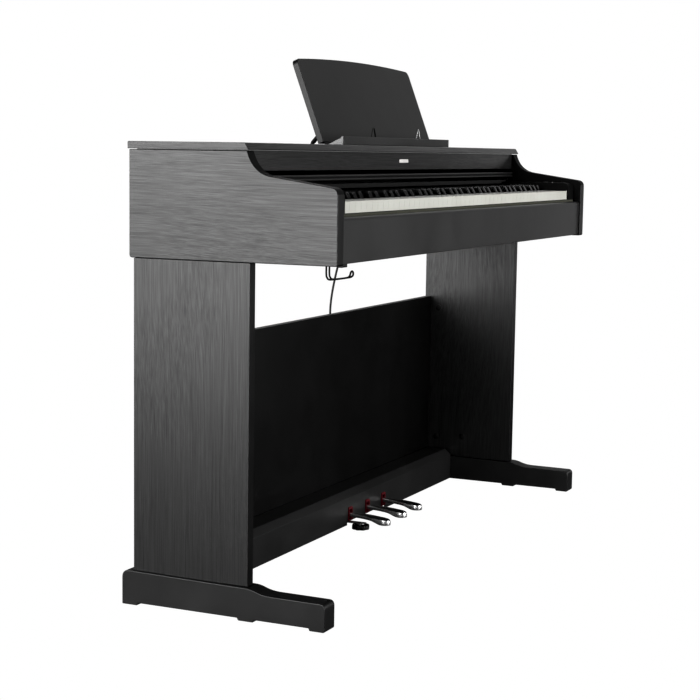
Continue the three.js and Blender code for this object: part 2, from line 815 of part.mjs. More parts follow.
/** Pedal box: a long shell, open below, with a bevelled top edge and three slots. */
function pedalBox() {
  const outer = [
    [BOX_REAR, BOX_BOTTOM + 5],
    [BOX_FRONT, BOX_BOTTOM],
    [BOX_FRONT, BOX_SHOULDER],
    [BOX_FRONT - 14, BOX_TOP],
    [BOX_REAR, BOX_TOP],
  ];
  const inner = [
    [BOX_REAR + BOX_WALL, 0],
    [BOX_FRONT - BOX_WALL, 0],
    [BOX_FRONT - BOX_WALL, BOX_SHOULDER - 1.3],
    [BOX_FRONT - 15.3, BOX_TOP - BOX_WALL],
    [BOX_REAR + BOX_WALL, BOX_TOP - BOX_WALL],
  ];
  const shell = alongX(outer, -BOX_HALF, BOX_HALF);
  const hollow = alongX(inner, -BOX_HALF + BOX_WALL, BOX_HALF - BOX_WALL);
  const notch = box(...NOTCH, BOX_FRONT - 6, BOX_FRONT + 1, 0, NOTCH_TOP);
  const slots = PEDAL_X.map((x) =>
    box(x - PEDAL_SLOT_HALF, x + PEDAL_SLOT_HALF, BOX_FRONT - 6, BOX_FRONT + 1, 16, 42),
  );
  const gland = new THREE.CylinderGeometry(5, 6.5, 9, 16);
  gland.translate(CORD_X, BACK_Y - BOX_REAR + 4, GLAND_Z);
  return join(cut(shell, hollow, notch, ...slots), solid(gland));
}
piece("pedal_box", pedalBox(), "edge");

const PLATE_BOTTOM = 10.8;
const PLATE_TOP = 13.2;
const ADJUSTER = [52, 121]; // x and depth of the adjuster's screw

/** Pedal chassis: base plate, lugs, the pedals' shaft and the adjuster's arm. */
function pedalChassis() {
  const plate = box(42, 256, 36, BOX_FRONT - BOX_WALL - GAP, PLATE_BOTTOM, PLATE_TOP);
  const arm = box(ADJUSTER[0] - 3, 62, 80, ADJUSTER[1] + 9, PLATE_BOTTOM, PLATE_TOP);
  const armEnd = disc(...ADJUSTER, 10, PLATE_BOTTOM, PLATE_TOP, 20);
  const lugs = [44, 105, 190, 251].map((x) => box(x, x + 3, 38, 52, PLATE_TOP - 1, 40));
  const shaft = barAlongX(44, 254, ...PEDAL_PIVOT, 3);
  const screwHole = disc(...ADJUSTER, 4.2, PLATE_BOTTOM - 1, PLATE_TOP + 1, 16);
  return cut(join(plate, arm, armEnd, ...lugs, shaft), screwHole);
}
piece("pedal_chassis", pedalChassis(), "steel");

/** Pedal: a narrow arm that widens to a rounded toe with a downturned edge. */
function pedal(x) {
  const side = new THREE.Shape();
  side.moveTo(34, 24);
  side.lineTo(56, 24);
  side.lineTo(142, 21);
  side.quadraticCurveTo(156, 20, 165, 12.6);
  side.lineTo(PEDAL_TIP - 4, 12.4);
  side.quadraticCurveTo(PEDAL_TIP, 12.4, PEDAL_TIP, 16);
  side.quadraticCurveTo(PEDAL_TIP, 24.6, PEDAL_TIP - 10, 25.2);
  side.lineTo(150, 28.8);
  side.lineTo(120, 31.2);
  side.lineTo(80, 34);
  side.lineTo(56, 36);
  side.lineTo(34, 36);
  const plan = new THREE.Shape();
  const arm = 6.5;
  const toe = 13;
  plan.moveTo(x - arm, 30);
  plan.lineTo(x + arm, 30);
  plan.lineTo(x + arm, 96);
  plan.bezierCurveTo(x + arm, 130, x + toe, 140, x + toe, PEDAL_TIP - 15);
  plan.bezierCurveTo(x + toe, PEDAL_TIP, x - toe, PEDAL_TIP, x - toe, PEDAL_TIP - 15);
  plan.bezierCurveTo(x - toe, 140, x - arm, 130, x - arm, 96);
  const blank = alongX(side, x - 20, x + 20, 4);
  const bore = barAlongX(x - 20, x + 20, ...PEDAL_PIVOT, 3.4);
  return cut(blank.intersect(alongZ(plan, 0, 60, 7)), bore);
}
for (const [index, name] of ["pedal_left", "pedal_middle", "pedal_right"].entries()) {
  piece(name, pedal(PEDAL_X[index]), "chrome");
}

/** Adjuster: a lobed knob that stands on the floor, with its screw through the arm. */
function adjuster() {
  const lobes = 8;
  const steps = 48;
  const outline = new THREE.Shape();
  for (let i = 0; i < steps; i += 1) {
    const angle = (i / steps) * 2 * Math.PI;
    const radius = 18.6 + 0.9 * Math.cos(lobes * angle);
    const point = [
      ADJUSTER[0] + radius * Math.cos(angle),
      ADJUSTER[1] + radius * Math.sin(angle),
    ];
    if (i === 0) outline.moveTo(...point);
    else outline.lineTo(...point);
  }
  const knob = alongZ(outline, 0, PLATE_BOTTOM - 0.8);
  return join(knob, disc(...ADJUSTER, 3.6, 5, PLATE_TOP + 1.2, 16));
}
piece("adjuster_knob", adjuster(), "plastic");

// ---------------------------------------------------------------- headphone hook

/** Headphone hook: one wire bent into a double hook, with a mounting plate. */
function headphoneHook() {
  const [x0, x1] = [-620, -608];
  const root = 355;
  const top = BED_BOTTOM - GAP;
  const under = 588.5;
  const tip = 399.2;
  const leg = (x) => [
    [x, root, top - 1],
    [x, root, 598],
    [x, root + 1.6, 591.5],
    [x, root + 8, under],
    [x, tip - 9, under + 4],
    [x, tip - 2, under + 6.5],
    [x, tip, under + 10],
  ];
  const middle = (x0 + x1) / 2;
  const turn = [
    [x0 + 2, tip + 0.3, under + 14],
    [middle, tip + 0.4, under + 15.4],
    [x1 - 2, tip + 0.3, under + 14],
  ];
  const loop = wire([...leg(x0), ...turn, ...leg(x1).reverse()], 1.6, 6, 60);
  const plate = box(x0 - 5, x1 + 5, root - 14, root + 5, top - 2.2, top);
  return join(solid(loop), plate);
}
piece("headphone_hook", headphoneHook(), "blackSteel");

// ---------------------------------------------------------------- pedal cord

const CORD_RADIUS = 2.3;
const PLUG_DEPTH = 28;
const PLUG_BOTTOM = 586;

// Points are x, depth forward of the top board's back edge, and height.
const CORD_ROUTE = [
  [CORD_X, 20.1, GLAND_Z],
  [CORD_X, 14, GLAND_Z + 1],
  [CORD_X, 7.5, GLAND_Z + 8],
  [CORD_X, 4.8, GLAND_Z + 20],
  [CORD_X, 4.8, 120],
  [CORD_X, 4.8, 200],
  [CORD_X, 4.8, 280],
  [CORD_X, 4.8, 360],
  [CORD_X, 4.7, 420],
  [CORD_X, 4.8, 452],
  [CORD_X, 5.6, 470],
  [CORD_X, 8.2, 492],
  [CORD_X, 13.4, 520],
  [CORD_X, 19.4, 546],
  [CORD_X, 24.8, 566],
  [CORD_X, 27.2, 577],
  [CORD_X, PLUG_DEPTH, PLUG_BOTTOM - GAP],
];
piece("pedal_cord", wire(CORD_ROUTE, CORD_RADIUS, 8, 48), "rubber");
piece(
  "cord_plug",
  join(
    disc(CORD_X, PLUG_DEPTH, 3.6, PLUG_BOTTOM, PLUG_BOTTOM + 9, 16),
    disc(CORD_X, PLUG_DEPTH, 5.2, PLUG_BOTTOM + 8, BED_BOTTOM - GAP, 16),
  ),
  "rubber",
);

export default piano;
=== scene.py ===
"""The looks of a digital piano on its stand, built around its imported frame.

Sizes are in millimetres: x along the keyboard, depth forward of the top board's back edge,
and height above the floor. Placing matrices turn them into the frame's metres.
"""

import math

import bmesh
import bpy
from mathutils import Matrix, Vector


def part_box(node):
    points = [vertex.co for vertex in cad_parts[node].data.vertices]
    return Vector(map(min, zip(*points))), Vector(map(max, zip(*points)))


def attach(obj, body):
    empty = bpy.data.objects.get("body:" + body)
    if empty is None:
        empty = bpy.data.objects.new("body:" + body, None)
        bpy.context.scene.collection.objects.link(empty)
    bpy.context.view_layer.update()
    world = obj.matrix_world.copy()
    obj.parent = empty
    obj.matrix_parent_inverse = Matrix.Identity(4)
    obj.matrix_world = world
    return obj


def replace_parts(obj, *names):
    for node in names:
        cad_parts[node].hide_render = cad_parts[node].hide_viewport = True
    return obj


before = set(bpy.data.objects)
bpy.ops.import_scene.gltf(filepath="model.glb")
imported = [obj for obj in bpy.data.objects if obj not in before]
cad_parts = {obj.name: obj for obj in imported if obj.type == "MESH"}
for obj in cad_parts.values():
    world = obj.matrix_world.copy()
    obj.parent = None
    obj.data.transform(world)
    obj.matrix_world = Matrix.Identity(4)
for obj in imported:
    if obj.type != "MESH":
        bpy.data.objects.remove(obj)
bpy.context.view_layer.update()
scene = bpy.context.scene

MM = 0.001
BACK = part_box("top_board")[1].y / MM


def node_box(node):
    """A CAD node's span in millimetres: x0, x1, depth0, depth1, z0, z1."""
    low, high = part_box(node)
    return low.x / MM, high.x / MM, BACK - high.y / MM, BACK - low.y / MM, low.z / MM, high.z / MM


def at(x, depth, z):
    """A point in the frame's metres."""
    return Vector((x, BACK - depth, z)) * MM


# ---------------------------------------------------------------- camera

CAMERA_PLACE = (-3.1324, -1.3674, 0.8018)
CAMERA_YAW, CAMERA_PITCH, CAMERA_ROLL = (math.radians(a) for a in (65.138, -6.788, 0.861))


def make_camera():
    data = bpy.data.cameras.new("camera")
    data.lens = 85.57
    data.clip_end = 60
    camera = bpy.data.objects.new("camera", data)
    scene.collection.objects.link(camera)
    level = math.cos(CAMERA_PITCH)
    ahead = Vector((math.sin(CAMERA_YAW) * level, math.cos(CAMERA_YAW) * level, math.sin(CAMERA_PITCH)))
    right = Vector((math.cos(CAMERA_YAW), -math.sin(CAMERA_YAW), 0))
    up = right.cross(ahead)
    turned_right = right * math.cos(CAMERA_ROLL) + up * math.sin(CAMERA_ROLL)
    turned_up = up * math.cos(CAMERA_ROLL) - right * math.sin(CAMERA_ROLL)
    turn = Matrix((turned_right, turned_up, -ahead)).transposed().to_4x4()
    camera.matrix_world = Matrix.Translation(CAMERA_PLACE) @ turn
    scene.camera = camera


make_camera()

# ---------------------------------------------------------------- materials


class Graph:
    """A node material with a Principled shader, and short calls to build it."""

    def __init__(self, name, slot, color, roughness, metallic=0.0, **inputs):
        self.material = bpy.data.materials.new(name)
        self.material.use_nodes = True
        self.material["slot"] = slot
        self.tree = self.material.node_tree
        self.shader = self.tree.nodes["Principled BSDF"]
        self.set("Base Color", (*color, 1))
        self.set("Roughness", roughness)
        self.set("Metallic", metallic)
        for key, value in inputs.items():
            self.set(key.replace("_", " "), value)

    def set(self, socket, value):
        self.shader.inputs[socket].default_value = value

    def node(self, kind, inputs=None, **settings):
        made = self.tree.nodes.new(kind)
        for key, value in settings.items():
            setattr(made, key, value)
        for key, value in (inputs or {}).items():
            if isinstance(value, bpy.types.NodeSocket):
                self.tree.links.new(value, made.inputs[key])
            else:
                made.inputs[key].default_value = value
        return made

    def math(self, operation, a, b):
        return self.node("ShaderNodeMath", {0: a, 1: b}, operation=operation).outputs[0]

    def position(self, scale):
        """Object coordinates, which are the frame's metres, times a scale for each axis."""
        return self.stretched(self.node("ShaderNodeTexCoord").outputs["Object"], scale)

    def stretched(self, vector, scale):
        inputs = {0: vector, 1: scale}
        return self.node("ShaderNodeVectorMath", inputs, operation="MULTIPLY").outputs[0]

    def noise(self, vector, detail=3.0, roughness=0.55, distortion=0.0):
        inputs = {"Vector": vector, "Scale": 1.0, "Detail": detail}
        inputs |= {"Roughness": roughness, "Distortion": distortion}
        return self.node("ShaderNodeTexNoise", inputs).outputs["Fac"]

    def span(self, value, low, high, start=0.3, end=0.7):
        """Maps value from start..end to low..high, held at both ends."""
        inputs = {"Value": value, "From Min": start, "From Max": end, "To Min": low, "To Max": high}
        return self.node("ShaderNodeMapRange", inputs).outputs["Result"]

    def tint(self, factor, first, second):
        """Mixes two colours by factor into the base colour."""
        inputs = {0: factor, 6: (*first, 1), 7: (*second, 1)}
        mixed = self.node("ShaderNodeMix", inputs, data_type="RGBA").outputs[2]
        self.drive("Base Color", mixed)

    def drive(self, socket, value):
        self.tree.links.new(value, self.shader.inputs[socket])

    def bump(self, height, strength, distance):
        inputs = {"Height": height, "Strength": strength, "Distance": distance}
        self.drive("Normal", self.node("ShaderNodeBump", inputs).outputs["Normal"])


def grey(value, warmth=0.0):
    return (value * (1 + warmth), value, value * (1 - warmth))


def ash(axis):
    """Black ash foil: fine open-pored grain that wanders gently along one axis."""
    graph = Graph(f"black_ash_{axis}", "black_ash", grey(0.03), 0.5, Specular_IOR_Level=0.5)
    along = "xyz".index(axis)

    def scales(lengthwise, across):
        return tuple(lengthwise if i == along else across for i in range(3))

    drift = graph.noise(graph.position(scales(1.3, 3.2)), detail=1.0)
    drift = graph.math("MULTIPLY", graph.math("SUBTRACT", drift, 0.5), 0.06)
    sideways = graph.node(
        "ShaderNodeCombineXYZ", {i: (0.0 if i == along else drift) for i in range(3)}
    ).outputs[0]
    place = graph.node(
        "ShaderNodeVectorMath", {0: graph.position((1, 1, 1)), 1: sideways}, operation="ADD"
    ).outputs[0]
    streak = graph.noise(graph.stretched(place, scales(8.0, 860.0)), detail=2.0, roughness=0.6)
    bands = graph.noise(graph.stretched(place, scales(3.5, 170.0)), detail=2.0)
    pores = graph.noise(graph.stretched(place, scales(60.0, 1100.0)), detail=2.0)
    figure = graph.math("ADD", graph.span(streak, 0.0, 0.72), graph.span(bands, 0.0, 0.28))
    graph.tint(figure, grey(0.004), grey(0.030))
    graph.drive("Specular IOR Level", graph.span(figure, 0.42, 0.58, 0.1, 0.9))
    open_pores = graph.span(pores, 0.0, 1.0, 0.30, 0.46)
    graph.drive("Roughness", graph.span(figure, 0.36, 0.28, 0.1, 0.9))
    height = graph.math("ADD", graph.math("MULTIPLY", figure, 0.6), graph.math("MULTIPLY", open_pores, 0.4))
    graph.bump(height, 0.24, 0.0005)
    return graph.material


def satin(name, slot, tone, roughness, grain=1400.0, strength=0.06, warmth=0.0, gloss=0.5):
    """Smooth painted or moulded black: a very fine texture and faint clouds."""
    graph = Graph(name, slot, grey(tone, warmth), roughness, Specular_IOR_Level=gloss)
    cloud = graph.noise(graph.position((9, 9, 9)), detail=2.0)
    fine = graph.noise(graph.position((grain,) * 3), detail=1.0)
    graph.tint(graph.span(cloud, 0.0, 1.0), grey(tone * 0.88, warmth), grey(tone * 1.14, warmth))
    graph.drive("Roughness", graph.span(cloud, roughness - 0.03, roughness + 0.04))
    graph.bump(fine, strength, 0.0002)
    return graph.material


def ivory():
    """White key plastic: faintly mottled, with very fine lengthwise polishing lines."""
    graph = Graph("white_key_plastic", "white_key", (0.66, 0.66, 0.61), 0.34, Coat_Weight=0.12)
    cloud = graph.noise(graph.position((14, 14, 14)), detail=3.0)
    lines = graph.noise(graph.position((900, 30, 900)), detail=2.0)
    graph.tint(graph.span(cloud, 0.0, 1.0), (0.64, 0.64, 0.59), (0.68, 0.684, 0.635))
    graph.drive("Roughness", graph.span(lines, 0.30, 0.38))
    graph.bump(lines, 0.03, 0.0002)
    return graph.material


def ebony():
    """Black key plastic with very fine lines along the key."""
    graph = Graph("black_key_plastic", "black_key", grey(0.003), 0.15, Specular_IOR_Level=0.42)
    lines = graph.noise(graph.position((700, 22, 700)), detail=3.0)
    graph.tint(graph.span(lines, 0.0, 1.0), grey(0.002), grey(0.005))
    graph.drive("Roughness", graph.span(lines, 0.12, 0.20))
    graph.bump(lines, 0.05, 0.0002)
    return graph.material


def metal(name, slot, tone, roughness, smudge=0.05, warmth=0.0):
    """Metal with faint smudges and fine scratches in its gloss."""
    graph = Graph(name, slot, grey(tone, warmth), roughness, metallic=1.0)
    cloud = graph.noise(graph.position((60.0,) * 3), detail=4.0, distortion=0.4)
    scratch = graph.noise(graph.position((900, 120, 900)), detail=2.0)
    graph.tint(graph.span(cloud, 0.0, 1.0), grey(tone * 0.93, warmth), grey(tone, warmth))
    gloss = graph.math("ADD", cloud, graph.math("MULTIPLY", scratch, 0.4))
    graph.drive("Roughness", graph.span(gloss, roughness, roughness + smudge, 0.5, 1.0))
    graph.bump(scratch, 0.02, 0.0001)
    return graph.material


def felt(name, slot, dark, light, sheen=0.1):
    """Pressed wool: fibres in all directions, soft and matt."""
    graph = Graph(name, slot, dark, 0.95, Sheen_Weight=sheen, Sheen_Roughness=0.5)
    fibre = graph.noise(graph.position((1500,) * 3), detail=4.0, distortion=1.5)
    clump = graph.noise(graph.position((260,) * 3), detail=3.0)
    mixed = graph.math("ADD", graph.math("MULTIPLY", fibre, 0.6), graph.math("MULTIPLY", clump, 0.4))
    graph.tint(graph.span(mixed, 0.0, 1.0), dark, light)
    graph.bump(mixed, 0.6, 0.0005)
    return graph.material


def circuit():
    """Solder mask with a faint grid of traces."""
    graph = Graph("circuit_board", "circuit", (0.03, 0.12, 0.05), 0.35)
    vector = graph.position((160, 160, 160))
    inputs = {"Vector": vector, "Scale": 1.0, "Mortar Size": 0.06, "Bias": 0.0}
    traces = graph.node("ShaderNodeTexBrick", inputs).outputs["Fac"]
    graph.tint(traces, (0.02, 0.10, 0.04), (0.07, 0.22, 0.09))
    graph.bump(traces, 0.2, 0.0001)
    return graph.material


ASH = {axis: ash(axis) for axis in "xyz"}
SATIN = satin("satin_black", "black_satin", 0.026, 0.36)
BOX_SATIN = satin("pedal_box_black", "black_satin", 0.022, 0.36)
REST_SATIN = satin("music_rest_black", "black_satin", 0.019, 0.42)
# A much darker copy of the black ash foil: painted shade on the backboard under the keyboard.
SHADED_BACKBOARD_FOIL = satin("backboard_foil_painted_shade", "black_ash", 0.003, 0.38, grain=500.0, strength=0.15, gloss=0.32)
# An olive felt that stands in for shade: painted shade below the key fronts.
OLIVE_SHADE_FELT = felt("slip_painted_shade_felt", "black_plastic", (0.045, 0.046, 0.034), (0.085, 0.086, 0.066), sheen=0.0)
FOOT_FOIL = satin("foot_foil", "black_ash", 0.017, 0.33, grain=500.0, strength=0.12)
PLASTIC = satin("moulded_black", "black_plastic", 0.007, 0.40, grain=900.0, strength=0.15, gloss=0.35)
EDGE_BAND = satin("black_edge_band", "black_ash", 0.004, 0.34, grain=600.0, strength=0.1, gloss=0.32)
# Matt black for the matt parts, and also painted shade: on the cheeks' up, down and inward faces, the
# feet's tops and undersides, the cover's groove and the left page clip's leg.
MATT_BLACK_AND_SHADE = satin("matt_black_and_painted_shade", "black_wire", 0.002, 0.55, gloss=0.15)
# A brighter, glossier copy of the satin black: painted highlight on the ledge's end caps.
LEDGE_END_HIGHLIGHT = satin("ledge_end_cap_painted_highlight", "black_satin", 0.030, 0.28, gloss=0.9)
BARE = satin("back_hardboard", "bare_board", 0.014, 0.62, grain=420.0, strength=0.35)
RUBBER = satin("black_rubber", "cord", 0.012, 0.55, grain=700.0, strength=0.1)
WIRE = satin("black_wire_paint", "black_wire", 0.010, 0.30)
IVORY = ivory()
EBONY = ebony()
CHROME = metal("pedal_chrome", "pedal_chrome", 0.86, 0.06)
# A brighter, rougher copy of the pedal chrome: painted highlight on the pedals' edge bevels and toe lips.
CHROME_HIGHLIGHT = metal("pedal_chrome_painted_highlight", "pedal_chrome", 0.95, 0.30)
# A bright metal copy of the page clip wire for the right clip: painted highlight.
CLIP_WIRE_HIGHLIGHT = metal("clip_wire", "black_wire", 0.80, 0.35)
STEEL = metal("zinc_steel", "steel", 0.52, 0.30, smudge=0.12)
DARK_STEEL = metal("black_screws", "steel", 0.06, 0.35, smudge=0.1)
BADGE = metal("plain_badge", "steel", 0.92, 0.5, warmth=0.02)
RED_FELT = felt("crimson_felt", "black_plastic", (0.050, 0.0005, 0.003), (0.15, 0.002, 0.010), sheen=0.0)
BLACK_FELT = felt("black_felt", "black_plastic", grey(0.004), grey(0.012))
CIRCUIT = circuit()

# ---------------------------------------------------------------- mesh helpers

METRES = Matrix.Scale(MM, 4)
# Local axes of a flat outline and of the direction it is extruded in.
SIDE = Matrix(((0, 0, 1, 0), (-1, 0, 0, BACK), (0, 1, 0, 0), (0, 0, 0, 1)))  # depth, z; along x
PLAN = Matrix(((1, 0, 0, 0), (0, -1, 0, BACK), (0, 0, 1, 0), (0, 0, 0, 1)))  # x, depth; along z
FACE = Matrix(((1, 0, 0, 0), (0, 0, -1, BACK), (0, 1, 0, 0), (0, 0, 0, 1)))  # x, z; along depth
FACING = {
    "up": Matrix.Identity(4),
    "down": Matrix.Rotation(math.pi, 4, "X"),
    "front": Matrix.Rotation(math.pi / 2, 4, "X"),
    "back": Matrix.Rotation(-math.pi / 2, 4, "X"),
    "left": Matrix.Rotation(-math.pi / 2, 4, "Y"),
    "right": Matrix.Rotation(math.pi / 2, 4, "Y"),
}


def spot(x, depth, z, facing="up"):
    """Placing for a round piece whose own axis is z."""
    return Matrix.Translation((x, BACK - depth, z)) @ FACING[facing]


def quad(start, control, end, steps=8):
    """Points along a quadratic curve, without its start."""
    made = []
    for i in range(1, steps + 1):
        t = i / steps
        made.append(
            tuple(
                (1 - t) ** 2 * a + 2 * t * (1 - t) * c + t * t * b
                for a, c, b in zip(start, control, end)
            )
        )
    return made


def cubic(start, first, second, end, steps=12):
    """Points along a cubic curve, without its start."""
    made = []
    for i in range(1, steps + 1):
        t = i / steps
        u = 1 - t
        weights = (u**3, 3 * t * u * u, 3 * t * t * u, t**3)
        columns = zip(start, first, second, end)
        made.append(tuple(sum(w * p for w, p in zip(weights, column)) for column in columns))
    return made


def angles(count):
    return [2 * math.pi * i / count for i in range(count)]


def circle(radius, count):
    return [(radius * math.cos(a), radius * math.sin(a)) for a in angles(count)]


def rectangle(a0, a1, b0, b1):
    return [(a0, b0), (a1, b0), (a1, b1), (a0, b1)]


def rounded_rectangle(a0, a1, b0, b1, radius, steps=5):
    made = []
    for centre_a, centre_b, start in (
        (a1 - radius, b1 - radius, 0),
        (a0 + radius, b1 - radius, 90),
        (a0 + radius, b0 + radius, 180),
        (a1 - radius, b0 + radius, 270),
    ):
        for i in range(steps + 1):
            angle = math.radians(start + 90 * i / steps)
            made.append((centre_a + radius * math.cos(angle), centre_b + radius * math.sin(angle)))
    return made


def prism(outline, low, high, edge=0.0, steps=3):
    """A closed outline extruded from low to high, with its sharp edges rounded."""
    bm = bmesh.new()
    bottom = [bm.verts.new((a, b, low)) for a, b in outline]
    top = [bm.verts.new((a, b, high)) for a, b in outline]
    bm.faces.new(bottom)
    bm.faces.new(top)
    count = len(outline)
    for i in range(count):
        j = (i + 1) % count
        bm.faces.new((bottom[i], bottom[j], top[j], top[i]))
    bmesh.ops.recalc_face_normals(bm, faces=bm.faces)
    round_edges(bm, edge, steps)
    return bm


def round_edges(bm, edge, steps=3, angle=28):
    if edge <= 0:
        return
    limit = math.radians(angle)
    sharp = [e for e in bm.edges if len(e.link_faces) == 2 and e.calc_face_angle() > limit]
    bmesh.ops.bevel(
        bm, geom=sharp, offset=edge, segments=steps, profile=0.5, affect="EDGES", clamp_overlap=True
    )


def loft(rings, closed_ends=True):
    """A skin over rings that all have the same number of points."""
    bm = bmesh.new()
    rows = [[bm.verts.new(point) for point in ring] for ring in rings]
    for first, second in zip(rows, rows[1:]):
        count = len(first)
        for i in range(count):
            j = (i + 1) % count
            bm.faces.new((first[i], first[j], second[j], second[i]))
    if closed_ends:
        bm.faces.new(rows[0])
        bm.faces.new(rows[-1])
    return bm


def turned(profile, sides=32):
    """A round piece about its own z axis, from (radius, height) points; it starts and ends on the axis."""
    return loft([[(a, b, z) for a, b in circle(max(radius, 1e-3), sides)] for radius, z in profile])


def sweep_ring(inner, outer, section):
    """A closed frame between two outlines; section gives (share outward, height) points."""
    rings = []
    for share, height in section:
        rings.append(
            [
                (a + (c - a) * share, b + (d - b) * share, height)
                for (a, b), (c, d) in zip(inner, outer)
            ]
        )
    return loft([*rings, rings[0]], closed_ends=False)


def shape(name, bm, placing, material, body="case", end=None, sharp=40, subdivide=0):
    """Makes a piece from a mesh drawn in millimetres; end is (axis, material) for its end faces."""
    bm.transform(METRES @ placing)
    bmesh.ops.remove_doubles(bm, verts=bm.verts, dist=1e-7)
    bmesh.ops.recalc_face_normals(bm, faces=bm.faces)
    if end:
        direction = Vector([1.0 if letter == end[0] else 0.0 for letter in "xyz"])
        bm.normal_update()
        for face in bm.faces:
            face.material_index = 1 if abs(face.normal.dot(direction)) > 0.7 else 0
    mesh = bpy.data.meshes.new(name)
    bm.to_mesh(mesh)
    bm.free()
    return put(name, mesh, material, body, [end[1]] if end else [], sharp, subdivide)


def put(name, mesh, material, body, others=(), sharp=40, subdivide=0):
    """Links a mesh as a named piece that rides on a body and takes its materials."""
    mesh.shade_smooth()
    mesh.set_sharp_from_angle(angle=math.radians(sharp))
    item = bpy.data.objects.new(name, mesh)
    scene.collection.objects.link(item)
    for each in (material, *others):
        mesh.materials.append(each)
    if subdivide:
        smooth = item.modifiers.new("subdivision", "SUBSURF")
        smooth.levels = smooth.render_levels = subdivide
    else:
        weighted = item.modifiers.new("weighted_normals", "WEIGHTED_NORMAL")
        weighted.keep_sharp = True
    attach(item, body)
    return item


def carved(bm, *cutters):
    """Cuts closed meshes out of a closed mesh and returns what is left."""
    base = temporary(bm)
    for cutter in cutters:
        tool = temporary(cutter)
        step = base.modifiers.new("cut", "BOOLEAN")
        step.operation = "DIFFERENCE"
        step.solver = "EXACT"
        step.object = tool
    bpy.context.view_layer.update()
    result = bpy.data.meshes.new_from_object(base.evaluated_get(bpy.context.evaluated_depsgraph_get()))
    left = bmesh.new()
    left.from_mesh(result)
    for step in list(base.modifiers):
        bpy.data.objects.remove(step.object)
    bpy.data.objects.remove(base)
    return left


def temporary(bm):
    bmesh.ops.recalc_face_normals(bm, faces=bm.faces)
    mesh = bpy.data.meshes.new("temporary")
    bm.to_mesh(mesh)
    bm.free()
    item = bpy.data.objects.new("temporary", mesh)
    scene.collection.objects.link(item)
    return item


def copies(source, placings):
    """One mesh holding a copy of source at each placing, in millimetres."""
    mesh = bpy.data.meshes.new("pattern")
    source.to_mesh(mesh)
    source.free()
    joined = bmesh.new()
    for placing in placings:
        start = len(joined.verts)
        joined.from_mesh(mesh)
        joined.verts.ensure_lookup_table()
        bmesh.ops.transform(joined, matrix=placing, verts=joined.verts[start:])
    bpy.data.meshes.remove(mesh)
    return joined


def through(points):
    """Bezier points and handles of the smooth curve through the given points."""
    made = []
    for i, point in enumerate(points):
        before = points[max(i - 1, 0)]
        after = points[min(i + 1, len(points) - 1)]
        reach = (after - before) / 6
        made.append((point, point - reach, point + reach))
    return made


def wire(name, points, radius, material, body="case"):
    """A round wire or cord along points in millimetres."""
    data = bpy.data.curves.new(name, "CURVE")
    data.dimensions = "3D"
    data.bevel_depth = radius * MM
    data.bevel_resolution = 5
    data.resolution_u = 10
    data.use_fill_caps = True
    spline = data.splines.new("BEZIER")
    spline.bezier_points.add(len(points) - 1)
    for place, (point, left, right) in zip(spline.bezier_points, through([at(*p) for p in points])):
        place.handle_left_type = place.handle_right_type = "FREE"
        place.co, place.handle_left, place.handle_right = point, left, right
    item = bpy.data.objects.new(name, data)
    scene.collection.objects.link(item)
    data.materials.append(material)
    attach(item, body)
    return item


def dress(node, material, edge=0.5):
    """Gives a kept CAD node its material and rounds its sharp edges."""
    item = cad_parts[node]
    for slot in item.material_slots:
        slot.material = material
    if not item.material_slots:
        item.data.materials.append(material)
    merge = item.modifiers.new("weld", "WELD")
    merge.merge_threshold = 1e-6
    rounding = item.modifiers.new("rounded_edges", "BEVEL")
    rounding.width = edge * MM
    rounding.segments = 2
    rounding.limit_method = "ANGLE"
    rounding.angle_limit = math.radians(35)
    rounding.use_clamp_overlap = True
    weighted = item.modifiers.new("weighted_normals", "WEIGHTED_NORMAL")
    weighted.keep_sharp = False


def both(maker):
    """Calls maker with each side's name and sign."""
    for side, sign in (("left", -1), ("right", 1)):
        maker(side, sign)


# ---------------------------------------------------------------- pedal cord

CORD_X = 129
GLAND_Z = 40
CORD_RADIUS = 2.3
PLUG_DEPTH = 28
PLUG_BOTTOM = 586

# x, depth forward of the top board's back edge, and height.
CORD_ROUTE = [
    (CORD_X, 20.1, GLAND_Z),
    (CORD_X, 14, GLAND_Z + 1),
    (CORD_X, 7.5, GLAND_Z + 8),
    (CORD_X, 4.8, GLAND_Z + 20),
    (CORD_X, 4.8, 120),
    (CORD_X, 4.8, 200),
    (CORD_X, 4.8, 280),
    (CORD_X, 4.8, 360),
    (CORD_X, 4.7, 420),
    (CORD_X, 4.8, 452),
    (CORD_X, 5.6, 470),
    (CORD_X, 8.2, 492),
    (CORD_X, 13.4, 520),
    (CORD_X, 19.4, 546),
    (CORD_X, 24.8, 566),
    (CORD_X, 27.2, 577),
    (CORD_X, PLUG_DEPTH, PLUG_BOTTOM - 0.3),
]


def make_cord():
    flex = wire("pedal_cord_flex", CORD_ROUTE, CORD_RADIUS, RUBBER)
    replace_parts(flex, "pedal_cord")
    top = node_box("cord_plug")[5]
    profile = [(0, PLUG_BOTTOM), (2.9, PLUG_BOTTOM), (3.3, PLUG_BOTTOM + 0.6)]
    for i in range(4):
        z = PLUG_BOTTOM + 1.4 + 1.9 * i
        profile += [(3.6, z), (3.6, z + 0.7), (2.9, z + 1.0), (2.9, z + 1.6)]
    barrel = PLUG_BOTTOM + 9
    profile += [(3.6, barrel), (4.9, barrel + 0.6), (5.2, barrel + 1.4)]
    profile += [(5.2, top - 0.8), (4.8, top), (0, top)]
    plug = shape("pedal_cord_plug", turned(profile), spot(CORD_X, PLUG_DEPTH, 0), RUBBER)
    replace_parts(plug, "cord_plug")
    relief = [(0, 0), (5.6, 0), (5.6, 1.5), (4.6, 2.2), (3.4, 5.5), (2.6, 8.2), (2.5, 8.6), (0, 8.6)]
    sleeve = shape("cord_gland_sleeve", turned(relief), spot(CORD_X, 29.2, GLAND_Z, "back"), RUBBER)


make_cord()

